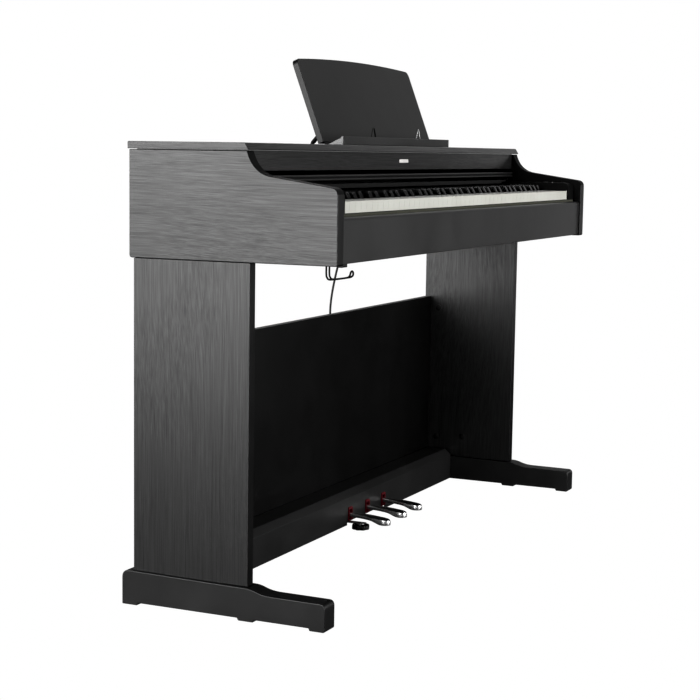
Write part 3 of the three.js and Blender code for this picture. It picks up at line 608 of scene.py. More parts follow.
# ---------------------------------------------------------------- keyboard case

CHEEK_IN, CHEEK_OUT = node_box("front_panel")[1] + 0.3, node_box("side_panel_right")[1]
CASE_BOTTOM = node_box("side_panel_right")[4]
CASE_TOP = node_box("side_panel_right")[5]
CASE_REAR = node_box("side_panel_right")[2]
CASE_FRONT = node_box("side_panel_right")[3]
KEY_TOP = node_box("white_keys_1a")[5]
KEY_FRONT = node_box("white_keys_1a")[3]
KEY_SKIRT = 20
TRACK_IN = 644.5


def side_of(sign, inner, outer):
    return (inner, outer) if sign > 0 else (-outer, -inner)


def banded(panel, sign):
    """Gives a side panel's narrow faces a smooth edge band; the faces pointing up and down, and the inward
    face, get matt black as painted shade.
    """
    panel.data.materials.append(EDGE_BAND)
    panel.data.materials.append(MATT_BLACK_AND_SHADE)
    # Painted shade: matt black on the faces pointing up and down and on the inward face.
    for face in panel.data.polygons:
        if abs(face.normal.x) < 0.75:
            face.material_index = 2 if abs(face.normal.z) > 0.15 else 1
        elif face.normal.x * sign < 0:
            face.material_index = 2


def side_panel(side, sign):
    """The top edge falls in a curve from the top board to the keyboard."""
    round_rear = 6
    corner = (CASE_REAR, CASE_BOTTOM)
    outline = [
        (CASE_REAR + round_rear, CASE_BOTTOM),
        (CASE_FRONT - 2, CASE_BOTTOM),
        (CASE_FRONT, CASE_BOTTOM + 2),
        (CASE_FRONT, 730),
        *quad((CASE_FRONT, 730), (CASE_FRONT - 0.5, 742), (389, 743.7), 10),
        (278, 759.4),
        *quad((278, 759.4), (244, 765), (233.3, CASE_TOP), 22),
        (CASE_REAR, CASE_TOP),
        (CASE_REAR, CASE_BOTTOM + round_rear),
        *quad((CASE_REAR, CASE_BOTTOM + round_rear), corner, (CASE_REAR + round_rear, CASE_BOTTOM), 6)[:-1],
    ]
    bm = prism(outline, *side_of(sign, CHEEK_IN, CHEEK_OUT), edge=1.5)
    panel = shape(f"cheek_{side}", bm, SIDE, ASH["y"])
    banded(panel, sign)
    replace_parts(panel, f"side_panel_{side}")
    channel = [(40, 757.6), (221, 746.0), (221, 741.4), (40, 753.0)]
    track = prism(channel, *side_of(sign, TRACK_IN, CHEEK_IN + 0.5), edge=0.4)
    shape(f"cover_track_{side}", track, SIDE, PLASTIC)


both(side_panel)


def top_board():
    x0, x1, rear, front, bottom, top = node_box("top_board")
    outline = [
        (rear, bottom),
        (front - 0.1, bottom),
        (front, bottom + 1.5),
        (front - 6, top - 1.5),
        *quad((front - 6, top - 1.5), (front - 7, top), (front - 9, top), 4),
        (rear + 1.5, top),
        (rear, top - 1.5),
    ]
    board = shape("lid_board", prism(outline, x0, x1, edge=0.7), SIDE, ASH["x"], end=("x", ASH["y"]))
    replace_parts(board, "top_board")


top_board()


def flat_board(name, node, material, edge=0.7, end=None):
    """A plain board that fills its CAD node's box."""
    x0, x1, depth0, depth1, z0, z1 = node_box(node)
    bm = prism(rectangle(depth0, depth1, z0, z1), x0, x1, edge=edge)
    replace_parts(shape(name, bm, SIDE, material, end=end), node)


flat_board("front_board", "front_panel", ASH["x"])
flat_board("back_cover", "rear_panel", BARE, edge=0.4)
# The backboard takes the darker foil as painted shade.
flat_board("modesty_board", "backboard", SHADED_BACKBOARD_FOIL, edge=0.6)


def badge():
    """A plain metal strip in the middle of the front panel, with nothing on it."""
    front = node_box("front_panel")[3]
    bar = prism(rounded_rectangle(-26, 19, 781.6, 788.6, 1.6), front, front + 0.7, edge=0.25, steps=2)
    shape("plain_badge_strip", bar, FACE, BADGE)


badge()


def key_slip():
    """The rail in front of the keys has a rounded upper edge and a small tab under its left end."""
    x0, x1, rear, front, tab_bottom, top = node_box("key_slip")
    bottom, roundness = 617.5, 6.5
    outline = [
        (rear, bottom),
        (front, bottom),
        (front, top - roundness),
        *quad((front, top - roundness), (front, top), (front - roundness, top), 10),
        (rear, top),
    ]
    rail = shape("key_slip_rail", prism(outline, x0, x1, edge=0.6), SIDE, SATIN)
    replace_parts(rail, "key_slip")
    tab = prism(rectangle(390, front - 0.2, tab_bottom, bottom + 1), x0 + 0.2, x0 + 22, edge=0.8)
    shape("key_slip_tab", tab, SIDE, PLASTIC)
    # An olive strip below the key fronts, as painted shade.
    shade_strip_top = max(top - 0.4, KEY_TOP - KEY_SKIRT - 0.5)
    strip = prism(rectangle(KEY_FRONT + 1.8, rear + 1, top - 8, shade_strip_top), x0 + 12, x1 - 12, edge=0.3)
    shape("key_slip_painted_shade_felt", strip, SIDE, OLIVE_SHADE_FELT)


key_slip()

COVER_FRONT = node_box("key_cover")[3]
COVER_TOP = 760
COVER_SLOPE = math.tan(math.radians(4))
COVER_THICK = 6


def cover_top(depth):
    return COVER_TOP - 3 + (COVER_FRONT - depth) * COVER_SLOPE


def key_cover():
    """A thin sliding panel behind a pull bar with a finger groove between two ribs."""
    x0, x1, rear, front, bottom, top = node_box("key_cover")
    bar_rear, bar_bottom = COVER_FRONT - 9, COVER_TOP - 11
    groove = [
        (bar_rear, bar_bottom),
        (front - 2.0, bar_bottom),
        *quad((front - 2.0, bar_bottom), (front, bar_bottom), (front, bar_bottom + 1.7), 5),
        *quad((front, bar_bottom + 1.7), (front, bar_bottom + 3.2), (front - 2.2, bar_bottom + 3.8), 5),
        (front - 3.0, bar_bottom + 4.6),
        (front - 3.0, COVER_TOP - 5.2),
        *quad((front - 3.0, COVER_TOP - 5.2), (front, COVER_TOP - 4.4), (front, COVER_TOP - 2.6), 5),
        *quad((front, COVER_TOP - 2.6), (front, COVER_TOP), (front - 3.0, COVER_TOP), 6),
        (bar_rear, COVER_TOP),
        (bar_rear, cover_top(bar_rear)),
        (rear, cover_top(rear)),
        (rear, cover_top(rear) - COVER_THICK),
        (bar_rear, cover_top(bar_rear) - COVER_THICK),
    ]
    cover = shape("sliding_cover", prism(groove, x0, x1, edge=0.3, steps=2), SIDE, SATIN, body="key_cover")
    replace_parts(cover, "key_cover")
    # A matt black strip on the floor of the finger groove: painted shade in the groove.
    outline = rectangle(front - 3.2, front - 2.4, bar_bottom + 4.7, COVER_TOP - 5.3)
    strip = prism(outline, x0 + 1, x1 - 1, edge=0.2, steps=2)
    shape("sliding_cover_groove_painted_shade", strip, SIDE, MATT_BLACK_AND_SHADE, body="key_cover")


key_cover()


def name_felt():
    """A felt-faced strip behind the cover's bar that closes the gap above the keys."""
    half = CHEEK_IN - 9
    strip = prism(rectangle(214, 219, 733.5, 741.5), -half, half, edge=0.8)
    shape("key_strip_felt", strip, SIDE, BLACK_FELT)


name_felt()

# ---------------------------------------------------------------- keys

WHITE_PITCH = 23.5
WHITE_COUNT = 52
KEY_GAP = 0.24
KEYS_HALF = WHITE_PITCH * WHITE_COUNT / 2
KEY_THICK = 10.3
HEAD_REAR = KEY_FRONT - 50
SKIRT_REAR = KEY_FRONT - 3
BLACK_WIDTH = 10.6
BLACK_SLOT = 12.8
BLACK_TOP = node_box("black_keys_1")[5]
BLACK_FRONT = node_box("black_keys_1")[3]
NOTES = "ABCDEFG"
TAIL_REARS = (148, 160)
BLACK_REAR = 172
OCTAVES = 7


def white_left(index):
    return -KEYS_HALF + index * WHITE_PITCH


def black_centre(index):
    """Middle of the black key above a white one, or None: C to E share three widths, F to B four."""
    note = NOTES[index % 7]
    if index >= WHITE_COUNT - 1 or note in "BE":
        return None
    tail = WHITE_PITCH * (3 / 5 if note in "CD" else 4 / 7)
    steps = {"C": 0, "D": 1, "F": 0, "G": 1, "A": 2}[note]
    return white_left(index - steps) + (2 * steps + 1.5) * tail


def white_key(index, parity, name, body):
    """A full-width head with a skirt in front, and a tail notched for the black keys."""
    x0 = white_left(index) + KEY_GAP / 2
    x1 = white_left(index + 1) - KEY_GAP / 2
    before = black_centre(index - 1) if index else None
    after = black_centre(index)
    tail0 = x0 if before is None else max(x0, before + BLACK_SLOT / 2)
    tail1 = x1 if after is None else min(x1, after - BLACK_SLOT / 2)
    rear = TAIL_REARS[parity]
    outline = [(x0, KEY_FRONT), (x1, KEY_FRONT), (x1, SKIRT_REAR), (x1, HEAD_REAR)]
    if tail1 < x1:
        outline.append((tail1, HEAD_REAR))
    outline += [(tail1, rear), (tail0, rear)]
    if tail0 > x0:
        outline.append((tail0, HEAD_REAR))
    outline += [(x0, HEAD_REAR), (x0, SKIRT_REAR)]
    bm = bmesh.new()
    under = KEY_TOP - KEY_THICK
    low = KEY_TOP - KEY_SKIRT
    top = [bm.verts.new((a, b, KEY_TOP)) for a, b in outline]
    base = {i: bm.verts.new((*outline[i], under)) for i in range(2, len(outline))}
    last = len(outline) - 1
    skirt = {i: bm.verts.new((*outline[i], low)) for i in (0, 1, 2, last)}
    bm.faces.new(top)
    for i in range(2, last):
        bm.faces.new((top[i], top[i + 1], base[i + 1], base[i]))
    bm.faces.new([base[i] for i in range(2, last + 1)])
    bm.faces.new((top[0], top[1], skirt[1], skirt[0]))
    bm.faces.new((top[1], top[2], base[2], skirt[2], skirt[1]))
    bm.faces.new((top[last], top[0], skirt[0], skirt[last], base[last]))
    bm.faces.new((skirt[0], skirt[1], skirt[2], skirt[last]))
    bm.faces.new((base[2], base[last], skirt[last], skirt[2]))
    bmesh.ops.recalc_face_normals(bm, faces=bm.faces)
    round_edges(bm, 0.14, steps=2)
    return shape(name, bm, PLAN, IVORY, body=body)


def black_key(centre, name, body):
    """Sides that draw in towards a rounded top, and a sloped front."""
    half, top_half, under = BLACK_WIDTH / 2, BLACK_WIDTH / 2 - 1.0, KEY_TOP - KEY_THICK
    low = rectangle(-half, half, BLACK_REAR, BLACK_FRONT)
    high = rectangle(-top_half, top_half, BLACK_REAR, BLACK_FRONT - 7)
    rings = [
        [(centre + a, b, under) for a, b in low],
        [(centre + a, b, KEY_TOP) for a, b in low],
        [(centre + a, b, BLACK_TOP) for a, b in high],
    ]
    bm = loft(rings)
    bmesh.ops.recalc_face_normals(bm, faces=bm.faces)
    round_edges(bm, 1.3, steps=4, angle=20)
    return shape(name, bm, PLAN, EBONY, body=body)


def make_keys():
    """Eighty-eight separate keys, each riding on its group's comb."""
    for group in range(OCTAVES):
        first = group * 7
        last = WHITE_COUNT - 1 if group == OCTAVES - 1 else first + 6
        octave = group + 1
        for index in range(first, last + 1):
            parity = (index - first) % 2
            comb = f"white_keys_{octave}{'ab'[parity]}"
            note = NOTES[index % 7]
            key = white_key(index, parity, f"white_key_{index + 1:02d}_{note}", comb)
            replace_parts(key, comb)
            centre = black_centre(index)
            if centre is not None:
                comb = f"black_keys_{octave}"
                key = black_key(centre, f"black_key_{index + 1:02d}_{note}_sharp", comb)
                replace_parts(key, comb)


make_keys()

# ---------------------------------------------------------------- controls and inner pieces

for node, material, edge in (
    ("keybed", ASH["x"], 0.5),
    ("key_frame", PLASTIC, 0.8),
    ("jack_housing", PLASTIC, 0.4),
    ("key_block_left", MATT_BLACK_AND_SHADE, 0.5),
    ("key_block_right", MATT_BLACK_AND_SHADE, 0.5),
    ("power_inlet", PLASTIC, 0.5),
    ("circuit_board", CIRCUIT, 0.1),
    ("speaker_left", PLASTIC, 0.3),
    ("speaker_right", PLASTIC, 0.3),
    ("pedal_chassis", STEEL, 0.3),
    ("pedal_box", BOX_SATIN, 0.6),
    ("voice_button", PLASTIC, 0.8),
):
    dress(node, material, edge)


def screw_pattern(radius, rise):
    """A pan-head screw with a cross recess; its own z axis points out of the board."""
    profile = [(0, -1), (radius, -1), (radius, 0.35 * rise), (0.86 * radius, 0.75 * rise)]
    profile += [(0.5 * radius, rise * 0.95), (0, rise)]
    head = turned(profile, 20)
    arm, reach = radius * 0.14, radius * 0.62
    bars = [
        prism(rectangle(-reach, reach, -arm, arm), rise - 1.1, rise + 1),
        prism(rectangle(-arm, arm, -reach, reach), rise - 1.1, rise + 1),
    ]
    return carved(head, *bars)


def screws(name, places, material=DARK_STEEL, radius=3.6, rise=1.8):
    """A set of equal screws as one piece; places are x, depth, z and facing."""
    placings = [spot(*place) @ Matrix.Rotation(0.6 + 0.9 * i, 4, "Z") for i, place in enumerate(places)]
    return shape(name, copies(screw_pattern(radius, rise), placings), Matrix.Identity(4), material)


def volume_slider():
    x0, x1, depth0, depth1, z0, crown = node_box("volume_slider")
    middle_x, middle = (x0 + x1) / 2, (depth0 + depth1) / 2
    profile = [
        (depth0, crown - 4),
        (depth1, crown - 4),
        (depth1, crown - 1.4),
        *quad((depth1, crown - 1.4), (depth1, crown), (depth1 - 1.4, crown), 4),
        (middle + 0.6, crown - 0.7),
        (middle - 0.6, crown - 0.7),
        (depth0 + 1.4, crown),
        *quad((depth0 + 1.4, crown), (depth0, crown), (depth0, crown - 1.4), 4),
    ]
    cap = shape("volume_cap", prism(profile, x0, x1, edge=0.5), SIDE, PLASTIC, body="volume_slider")
    outline = rectangle(middle_x - 1.8, middle_x + 1.8, middle - 3, middle + 3)
    stem = prism(outline, z0, crown - 3.8, edge=0.2)
    shape("volume_stem", stem, PLAN, PLASTIC, body="volume_slider")
    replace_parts(cap, "volume_slider")
    mark = prism(rectangle(x0 + 1, x1 - 1, middle - 0.35, middle + 0.35), crown - 0.75, crown - 0.45)
    shape("volume_mark", mark, PLAN, IVORY, body="volume_slider")


volume_slider()


def power_button():
    x0, x1, depth0, depth1, z0, z1 = node_box("power_button")
    x, depth, radius = (x0 + x1) / 2, (depth0 + depth1) / 2, (x1 - x0) / 2
    profile = [(0, z0), (radius, z0), (radius, z1 - 0.9), (radius - 0.3, z1 - 0.3), (radius - 1, z1)]
    profile += [(radius - 2, z1 - 0.25), (0, z1 - 0.5)]
    cap = shape("power_cap", turned(profile, 40), spot(x, depth, 0), PLASTIC, body="power_button")
    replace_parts(cap, "power_button")
    block_top = node_box("key_block_right")[5]
    lamp = [(0, -0.6), (1.5, -0.6), (1.5, 0.2), (1.2, 0.6), (0.6, 0.8), (0, 0.85)]
    shape("power_lamp", turned(lamp, 20), spot(x, depth + 16, block_top), BADGE)


power_button()

JACK_X = (-560, -530)
JACK_DEPTH = 350
BED_BOTTOM = node_box("keybed")[4]


def jack_rings():
    for number, x in enumerate(JACK_X, 1):
        section = [(0, -0.5), (0, 0.9), (0.25, 1.3), (0.7, 1.3), (1, 0.8), (1, -0.5)]
        ring = sweep_ring(circle(3.8, 28), circle(6.2, 28), section)
        shape(f"jack_ring_{number}", ring, spot(x, JACK_DEPTH, BED_BOTTOM, "down"), STEEL)


jack_rings()

SPEAKER_X, SPEAKER_DEPTH = 430, 78


def speaker_grille(side, sign):
    """A perforated plate and its rim, under the bottom board."""
    pitch, hole, limit = 5.2, 1.7, 45.0
    bm = bmesh.new()
    rows = int(limit / (pitch * 0.866)) + 1
    reach = pitch / math.sqrt(3)
    for row in range(-rows, rows + 1):
        for column in range(-rows, rows + 1):
            cx = pitch * (column + 0.5 * (row % 2))
            cy = pitch * 0.866 * row
            if math.hypot(cx, cy) > limit:
                continue
            corner = [
                bm.verts.new((cx + reach * math.cos(a), cy + reach * math.sin(a), 0))
                for a in (math.radians(30 + 60 * k) for k in range(6))
            ]
            rim = [
                bm.verts.new((cx + hole * math.cos(a), cy + hole * math.sin(a), 0))
                for a in (math.radians(30 + 30 * k) for k in range(12))
            ]
            for k in range(6):
                bm.faces.new(
                    (corner[k], corner[(k + 1) % 6], rim[(2 * k + 2) % 12], rim[2 * k + 1], rim[2 * k])
                )
    bmesh.ops.remove_doubles(bm, verts=bm.verts, dist=0.01)
    place = spot(sign * SPEAKER_X, SPEAKER_DEPTH, BED_BOTTOM - 0.4, "down")
    plate = shape(f"speaker_grille_{side}", bm, place, DARK_STEEL)
    thick = plate.modifiers.new("thickness", "SOLIDIFY")
    thick.thickness = 0.8 * MM
    thick.offset = 0
    section = [(0, -0.4), (0, 1.0), (0.3, 1.9), (0.75, 1.9), (1, 0.9), (1, 0.0)]
    rim = sweep_ring(circle(44.5, 56), circle(54, 56), section)
    shape(f"speaker_rim_{side}", rim, spot(sign * SPEAKER_X, SPEAKER_DEPTH, BED_BOTTOM, "down"), PLASTIC)


both(speaker_grille)

# ---------------------------------------------------------------- music rest

REST_HALF = node_box("music_rest")[1]
REST_TILT = math.radians(20.7)
REST_AXIS = (167.9, 821)
REST_BACK, REST_FRONT = 4, -8
REST_FOOT, REST_CORNER, REST_CROWN = -4, 164, 7.5
PROP_X, PROP_SEAT, PROP_LENGTH = 240, 22, 31.6
REST = Matrix.Translation((0, BACK - REST_AXIS[0], REST_AXIS[1])) @ Matrix.Rotation(-REST_TILT, 4, "X")


def rest_plate():
    """A plate with an arched upper edge; its back has a recess for each prop."""
    radius, crown = 14, REST_CORNER + 0.5
    right = REST_HALF
    outline = [
        (-right, REST_FOOT),
        (right, REST_FOOT),
        (right, REST_CORNER - radius),
        *quad((right, REST_CORNER - radius), (right, crown), (right - radius, crown), 10),
        *quad((right - radius, crown), (0, REST_CORNER + 2 * REST_CROWN), (radius - right, crown), 40),
        *quad((radius - right, crown), (-right, crown), (-right, REST_CORNER - radius), 10),
    ]
    bm = prism(outline, REST_FRONT, REST_BACK, edge=1.2, steps=4)
    upright = Matrix(((1, 0, 0, 0), (0, 0, 1, 0), (0, 1, 0, 0), (0, 0, 0, 1)))
    recesses = [
        prism(rectangle(x - 7, x + 7, PROP_SEAT - 7, PROP_SEAT + 36), REST_BACK - 5.5, REST_BACK + 1)
        for x in (-PROP_X, PROP_X)
    ]
    bm = carved(bm, *recesses)
    ends = ("x", EDGE_BAND)
    plate = shape("music_rest_plate", bm, REST @ upright, REST_SATIN, body="music_rest", end=ends)
    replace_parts(plate, "music_rest")


rest_plate()


def rest_prop(side, sign):
    """A flat strut with a pivot eye and a rubber tip."""
    body = f"rest_prop_{side}"
    lean = Matrix.Rotation(math.radians(39.85) + REST_TILT, 4, "X")
    place = REST @ Matrix.Translation((sign * PROP_X, REST_BACK - 2.5, PROP_SEAT)) @ lean
    profile = [
        (-1.3, 1.2),
        (1.3, 1.2),
        (2.4, -PROP_LENGTH + 4),
        (1.6, -PROP_LENGTH + 0.6),
        (-1.6, -PROP_LENGTH + 0.6),
        (-2.4, -PROP_LENGTH + 4),
    ]
    sideways = Matrix(((0, 0, 1, 0), (1, 0, 0, 0), (0, 1, 0, 0), (0, 0, 0, 1)))
    bm = prism(profile, -6, 6, edge=0.4)
    leg = shape(f"prop_leg_{side}", bm, place @ sideways, MATT_BLACK_AND_SHADE, body=body)
    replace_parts(leg, body)
    across = Matrix.Rotation(math.pi / 2, 4, "Y")
    eye = [(0, -6), (1.8, -6), (2.2, -5.6), (2.2, 5.6), (1.8, 6), (0, 6)]
    shape(f"prop_eye_{side}", turned(eye, 20), place @ across, MATT_BLACK_AND_SHADE, body=body)
    tip = [(0, -5.9), (1.1, -5.9), (1.5, -5.3), (1.5, 5.3), (1.1, 5.9), (0, 5.9)]
    tip_place = place @ Matrix.Translation((0, 0, -PROP_LENGTH)) @ across
    shape(f"prop_tip_{side}", turned(tip, 18), tip_place, RUBBER, body=body)
    pin = [(0, -6.9), (1.1, -6.9), (1.1, 6.9), (0, 6.9)]
    pin_place = REST @ Matrix.Translation((sign * PROP_X, REST_BACK - 2.5, PROP_SEAT)) @ across
    shape(f"prop_pin_{side}", turned(pin, 14), pin_place, STEEL, body="music_rest")


both(rest_prop)


def rest_ledge():
    """A long wedge that the pages stand on, with a small lip along its front."""
    x0, x1, rear, front, bottom, top = node_box("rest_ledge")
    outline = [
        (rear, bottom),
        (front, bottom),
        (front, top - 1.2),
        *quad((front, top - 1.2), (front, top), (front - 1.2, top), 4),
        (front - 2.6, top),
        *quad((front - 2.6, top), (front - 3.6, top - 0.2), (front - 4.2, top - 1.8), 4),
        (front - 5, top - 3),
        (rear, bottom + 1.2),
    ]
    ledge = shape("page_ledge", prism(outline, x0 + 5, x1 - 5, edge=0.35, steps=2), SIDE, SATIN)
    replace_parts(ledge, "rest_ledge")
    core = [(rear + 3, bottom), (front - 2, bottom), (front - 2, top - 4), (front - 6, top - 5)]
    shape("page_ledge_core", prism(core, x0 + 2, x1 - 2), SIDE, MATT_BLACK_AND_SHADE)
    # The end caps take the brighter satin black as painted highlight.
    for side, start in (("left", x0), ("right", x1 - 3.6)):
        cap = prism(outline, start, start + 3.6, edge=0.5)
        shape(f"page_ledge_end_{side}", cap, SIDE, LEDGE_END_HIGHLIGHT)


rest_ledge()


def rest_hinges():
    """Low hinge blocks between the plate's foot and the ledge, on leaves screwed to the top board."""
    board = node_box("top_board")[5]
    for number, x in enumerate((17 - REST_HALF, 0, REST_HALF - 17), 1):
        block = [
            (178, board + 0.1),
            (188.5, board + 0.1),
            (188.5, board + 2.2),
            *quad((188.5, board + 2.2), (186, board + 4.6), (181, board + 4.8), 6),
            (178, board + 4.8),
        ]
        shape(f"rest_hinge_{number}", prism(block, x - 15, x + 15, edge=0.5), SIDE, MATT_BLACK_AND_SHADE)
        leaf = prism(rectangle(158, 179, board + 0.05, board + 0.65), x - 13, x + 13, edge=0.15, steps=2)
        shape(f"rest_hinge_leaf_{number}", leaf, SIDE, DARK_STEEL)


rest_hinges()

CLIP_X, CLIP_DEPTH, CLIP_FOOT, CLIP_HALF = 114, 210.6, 828.6, 11.5


def page_clip(side, sign):
    """A small wire triangle on an axle behind the ledge's lip; the right one is drawn in bright metal as
    painted highlight, and the left one has a matt black stroke on one leg as painted shade.
    """
    x, top, body = sign * CLIP_X, CLIP_FOOT + 21, f"rest_clip_{side}"
    points = [
        (x - CLIP_HALF, CLIP_DEPTH, CLIP_FOOT),
        (x - CLIP_HALF + 1, CLIP_DEPTH, CLIP_FOOT + 2.5),
        (x - 2.4, CLIP_DEPTH, top - 1.6),
        (x, CLIP_DEPTH, top),
        (x + 2.4, CLIP_DEPTH, top - 1.6),
        (x + CLIP_HALF - 1, CLIP_DEPTH, CLIP_FOOT + 2.5),
        (x + CLIP_HALF, CLIP_DEPTH, CLIP_FOOT),
    ]
    # The right clip takes the bright metal wire as painted highlight.
    loop = wire(f"page_clip_wire_{side}", points, 1.0, CLIP_WIRE_HIGHLIGHT if side == "right" else WIRE, body=body)
    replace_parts(loop, body)
    if side == "left":
        # A thicker matt black stroke along one leg of the left clip: painted shade.
        along_leg = ((1.8, top - 1.2), (5.6, top - 8.5), (9.6, CLIP_FOOT + 4))
        sleeve = [(x + away, CLIP_DEPTH, z) for away, z in along_leg]
        wire("page_clip_shade_stroke_left", sleeve, 1.5, MATT_BLACK_AND_SHADE, body=body)
    reach = CLIP_HALF + 3
    axle = [(0, -reach), (0.8, -reach), (1.1, 0.4 - reach), (1.1, reach - 0.4), (0.8, reach), (0, reach)]
    place = spot(x, CLIP_DEPTH, CLIP_FOOT, "right")
    shape(f"page_clip_axle_{side}", turned(axle, 16), place, WIRE, body=body)


both(page_clip)

# ---------------------------------------------------------------- stand

PANEL_IN = node_box("stand_panel_right")[0]


def stand_panel(side, sign):
    x0, x1, depth0, depth1, z0, z1 = node_box(f"stand_panel_{side}")
    panel = shape(
        f"stand_board_{side}",
        prism(rectangle(depth0, depth1, z0, z1), x0, x1, edge=0.9),
        SIDE,
        ASH["z"],
        end=("y", EDGE_BAND),
    )
    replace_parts(panel, f"stand_panel_{side}")


both(stand_panel)


def foot(side, sign):
    """Stands on three pads and falls in a soft step in front of the stand panel."""
    x0, x1, rear, front, floor, top = node_box(f"foot_{side}")
    recess, step_depth, step_top = 4.5, 241, 58.5
    slope = (step_top - top) / step_depth
    outline = [(rear, 0), (24, 0), (26, recess), (225, recess), (227, 0), (256, 0), (258, recess)]
    outline += [(362, recess), (364, 0), (front - 2, 0), (front, 2), (front, 39)]
    outline += quad((front, 39), (front, 49), (front - 10, 49), 8)
    outline += [(292, 49.6), *cubic((292, 49.6), (262, 50), (262, 58), (step_depth, step_top), 16)]
    outline += [(7, top + slope * 7), *quad((7, top + slope * 7), (rear, top), (rear, 48), 8)]
    bm = prism(outline, x0, x1, edge=1.6, steps=4)
    # Faces pointing up and down take matt black: painted shade on the foot's top and underside.
    block = shape(f"foot_block_{side}", bm, SIDE, FOOT_FOIL, end=("z", MATT_BLACK_AND_SHADE))
    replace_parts(block, f"foot_{side}")


both(foot)


def stand_fasteners(side, sign):
    """Cap covers on the stand panel's inner face, and the brackets that hold the keyboard."""
    inward = "left" if sign > 0 else "right"
    face = sign * PANEL_IN
    cap = [(0, -0.5), (7.2, -0.5), (7.2, 0.5), (6.6, 1.1), (5.2, 1.4), (0, 1.5)]
    places = [spot(face, depth, z, inward) for depth, z in ((47.4, 104.9), (116.1, 109.1), (47.4, 425))]
    shape(f"screw_caps_{side}", copies(turned(cap, 28), places), Matrix.Identity(4), PLASTIC)
    for number, depth in enumerate((62, 186), 1):
        outline = [
            (face, 614.2),
            (face - sign * 24, 614.2),
            (face - sign * 24, 612.2),
            (face - sign * 2, 612.2),
            (face - sign * 2, 586),
            (face, 586),
        ]
        plate = prism(outline, depth - 16, depth + 16, edge=0.5)
        shape(f"stand_bracket_{side}_{number}", plate, FACE, STEEL)
    heads = [(face - sign * 14, depth, 612.2, "down") for depth in (62, 186)]
    heads += [(face - sign * 2, depth, 598, inward) for depth in (62, 186)]
    screws(f"bracket_screws_{side}", heads, STEEL, radius=4.2, rise=2.4)


both(stand_fasteners)

# ---------------------------------------------------------------- pedals

PEDAL_X = (61, 150, 236)
BOX_FRONT = node_box("pedal_box")[3]
PEDAL_TIP = node_box("pedal_left")[3]
TOE_HALF, ARM_HALF, TOE_ROUND = 13.0, 6.5, 16.0


def along(value, points):
    """The value at a depth on a smooth curve through (depth, value) points."""
    last = len(points) - 1
    i = next(k for k in range(last) if value <= points[k + 1][0] or k == last - 1)

    def slope(k):
        (a, low), (b, high) = points[max(k - 1, 0)], points[min(k + 1, last)]
        return (high - low) / (b - a)

    (a, low), (b, high) = points[i], points[i + 1]
    t = (value - a) / (b - a)
    start, end = slope(i) * (b - a), slope(i + 1) * (b - a)
    return (
        (2 * t**3 - 3 * t**2 + 1) * low
        + (t**3 - 2 * t**2 + t) * start
        + (3 * t**2 - 2 * t**3) * high
        + (t**3 - t**2) * end
    )


# Heights of the top and the underside, and half widths, at depths along a pedal.
PEDAL_CROWN = [(34, 36), (56, 35.8), (80, 34.4), (98, 33.2), (120, 31.4)]
PEDAL_CROWN += [(140, 29.6), (160, 27.5), (176, 25.8), (190, 24.3)]
PEDAL_SOLE = [(34, 24), (56, 24), (100, 22.6), (132, 21.4), (148, 19.6)]
PEDAL_SOLE += [(158, 15.6), (166, 12.9), (190, 12.6)]
PEDAL_WIDTH = [(34, ARM_HALF), (70, ARM_HALF), (98, 6.8), (120, 8.8)]
PEDAL_WIDTH += [(142, 12.0), (158, TOE_HALF), (174, TOE_HALF)]
ARM_RINGS = (34, 36, 46, 60, 76, 90, 100, 110, 120, 130, 140, 148, 156, 164)
CHROME_LIP_REAR = 152


def pedal(name, x):
    """A polished lever that widens to a rounded toe, with its edges turned down in a narrow lip."""
    centre = PEDAL_TIP - TOE_ROUND
    plan = [(along(d, PEDAL_WIDTH), d) for d in ARM_RINGS]
    plan += [
        (TOE_HALF * math.cos(math.radians(a)), centre + TOE_ROUND * math.sin(math.radians(a)))
        for a in (0, 14, 28, 42, 54, 64, 73, 82, 90)
    ]
    rings = []
    for i, (half, depth) in enumerate(plan):
        (h0, d0), (h1, d1) = plan[max(i - 1, 0)], plan[min(i + 1, len(plan) - 1)]
        outward = Vector((d1 - d0, h0 - h1)).normalized() if i < len(plan) - 1 else Vector((0, 1))
        if i < 2:
            outward = Vector((1, 0))
        top, bottom = along(depth, PEDAL_CROWN), along(depth, PEDAL_SOLE)
        # Inset from the outline and height, from the middle of the sole up to the middle of the crown.
        levels = [(3.4, bottom), (1.6, bottom), (0.4, bottom + 0.5), (0, bottom + 1.8), (0.1, top - 4.4)]
        levels += [(1.1, top - 1.6), (2.0, top - 0.7), (3.6, top - 0.35)]
        side = []
        for inset, z in levels:
            side.append((max(0.0, half - inset * outward.x), depth - inset * outward.y, z))
        middle = depth - 3.6 * outward.y
        side = [(0, middle, bottom), *side, (side[-1][0] * 0.5, middle, top - 0.1), (0, middle, top)]
        ring = [(x - a, d, z) for a, d, z in side]
        ring += [(x + a, d, z) for a, d, z in reversed(side[1:-1])]
        rings.append(ring)
    lever = shape(f"{name}_lever", loft(rings), PLAN, CHROME, body=name, subdivide=2)
    lever.data.materials.append(CHROME_HIGHLIGHT)
    # Painted highlight: sloping bevel faces and the toe's side walls take the brighter chrome.
    for face in lever.data.polygons:
        toe = face.center.y < (BACK - CHROME_LIP_REAR) * MM
        edge = 0.15 < face.normal.z < 0.7
        face.material_index = 1 if edge or (toe and abs(face.normal.z) < 0.45) else 0
    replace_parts(lever, name)


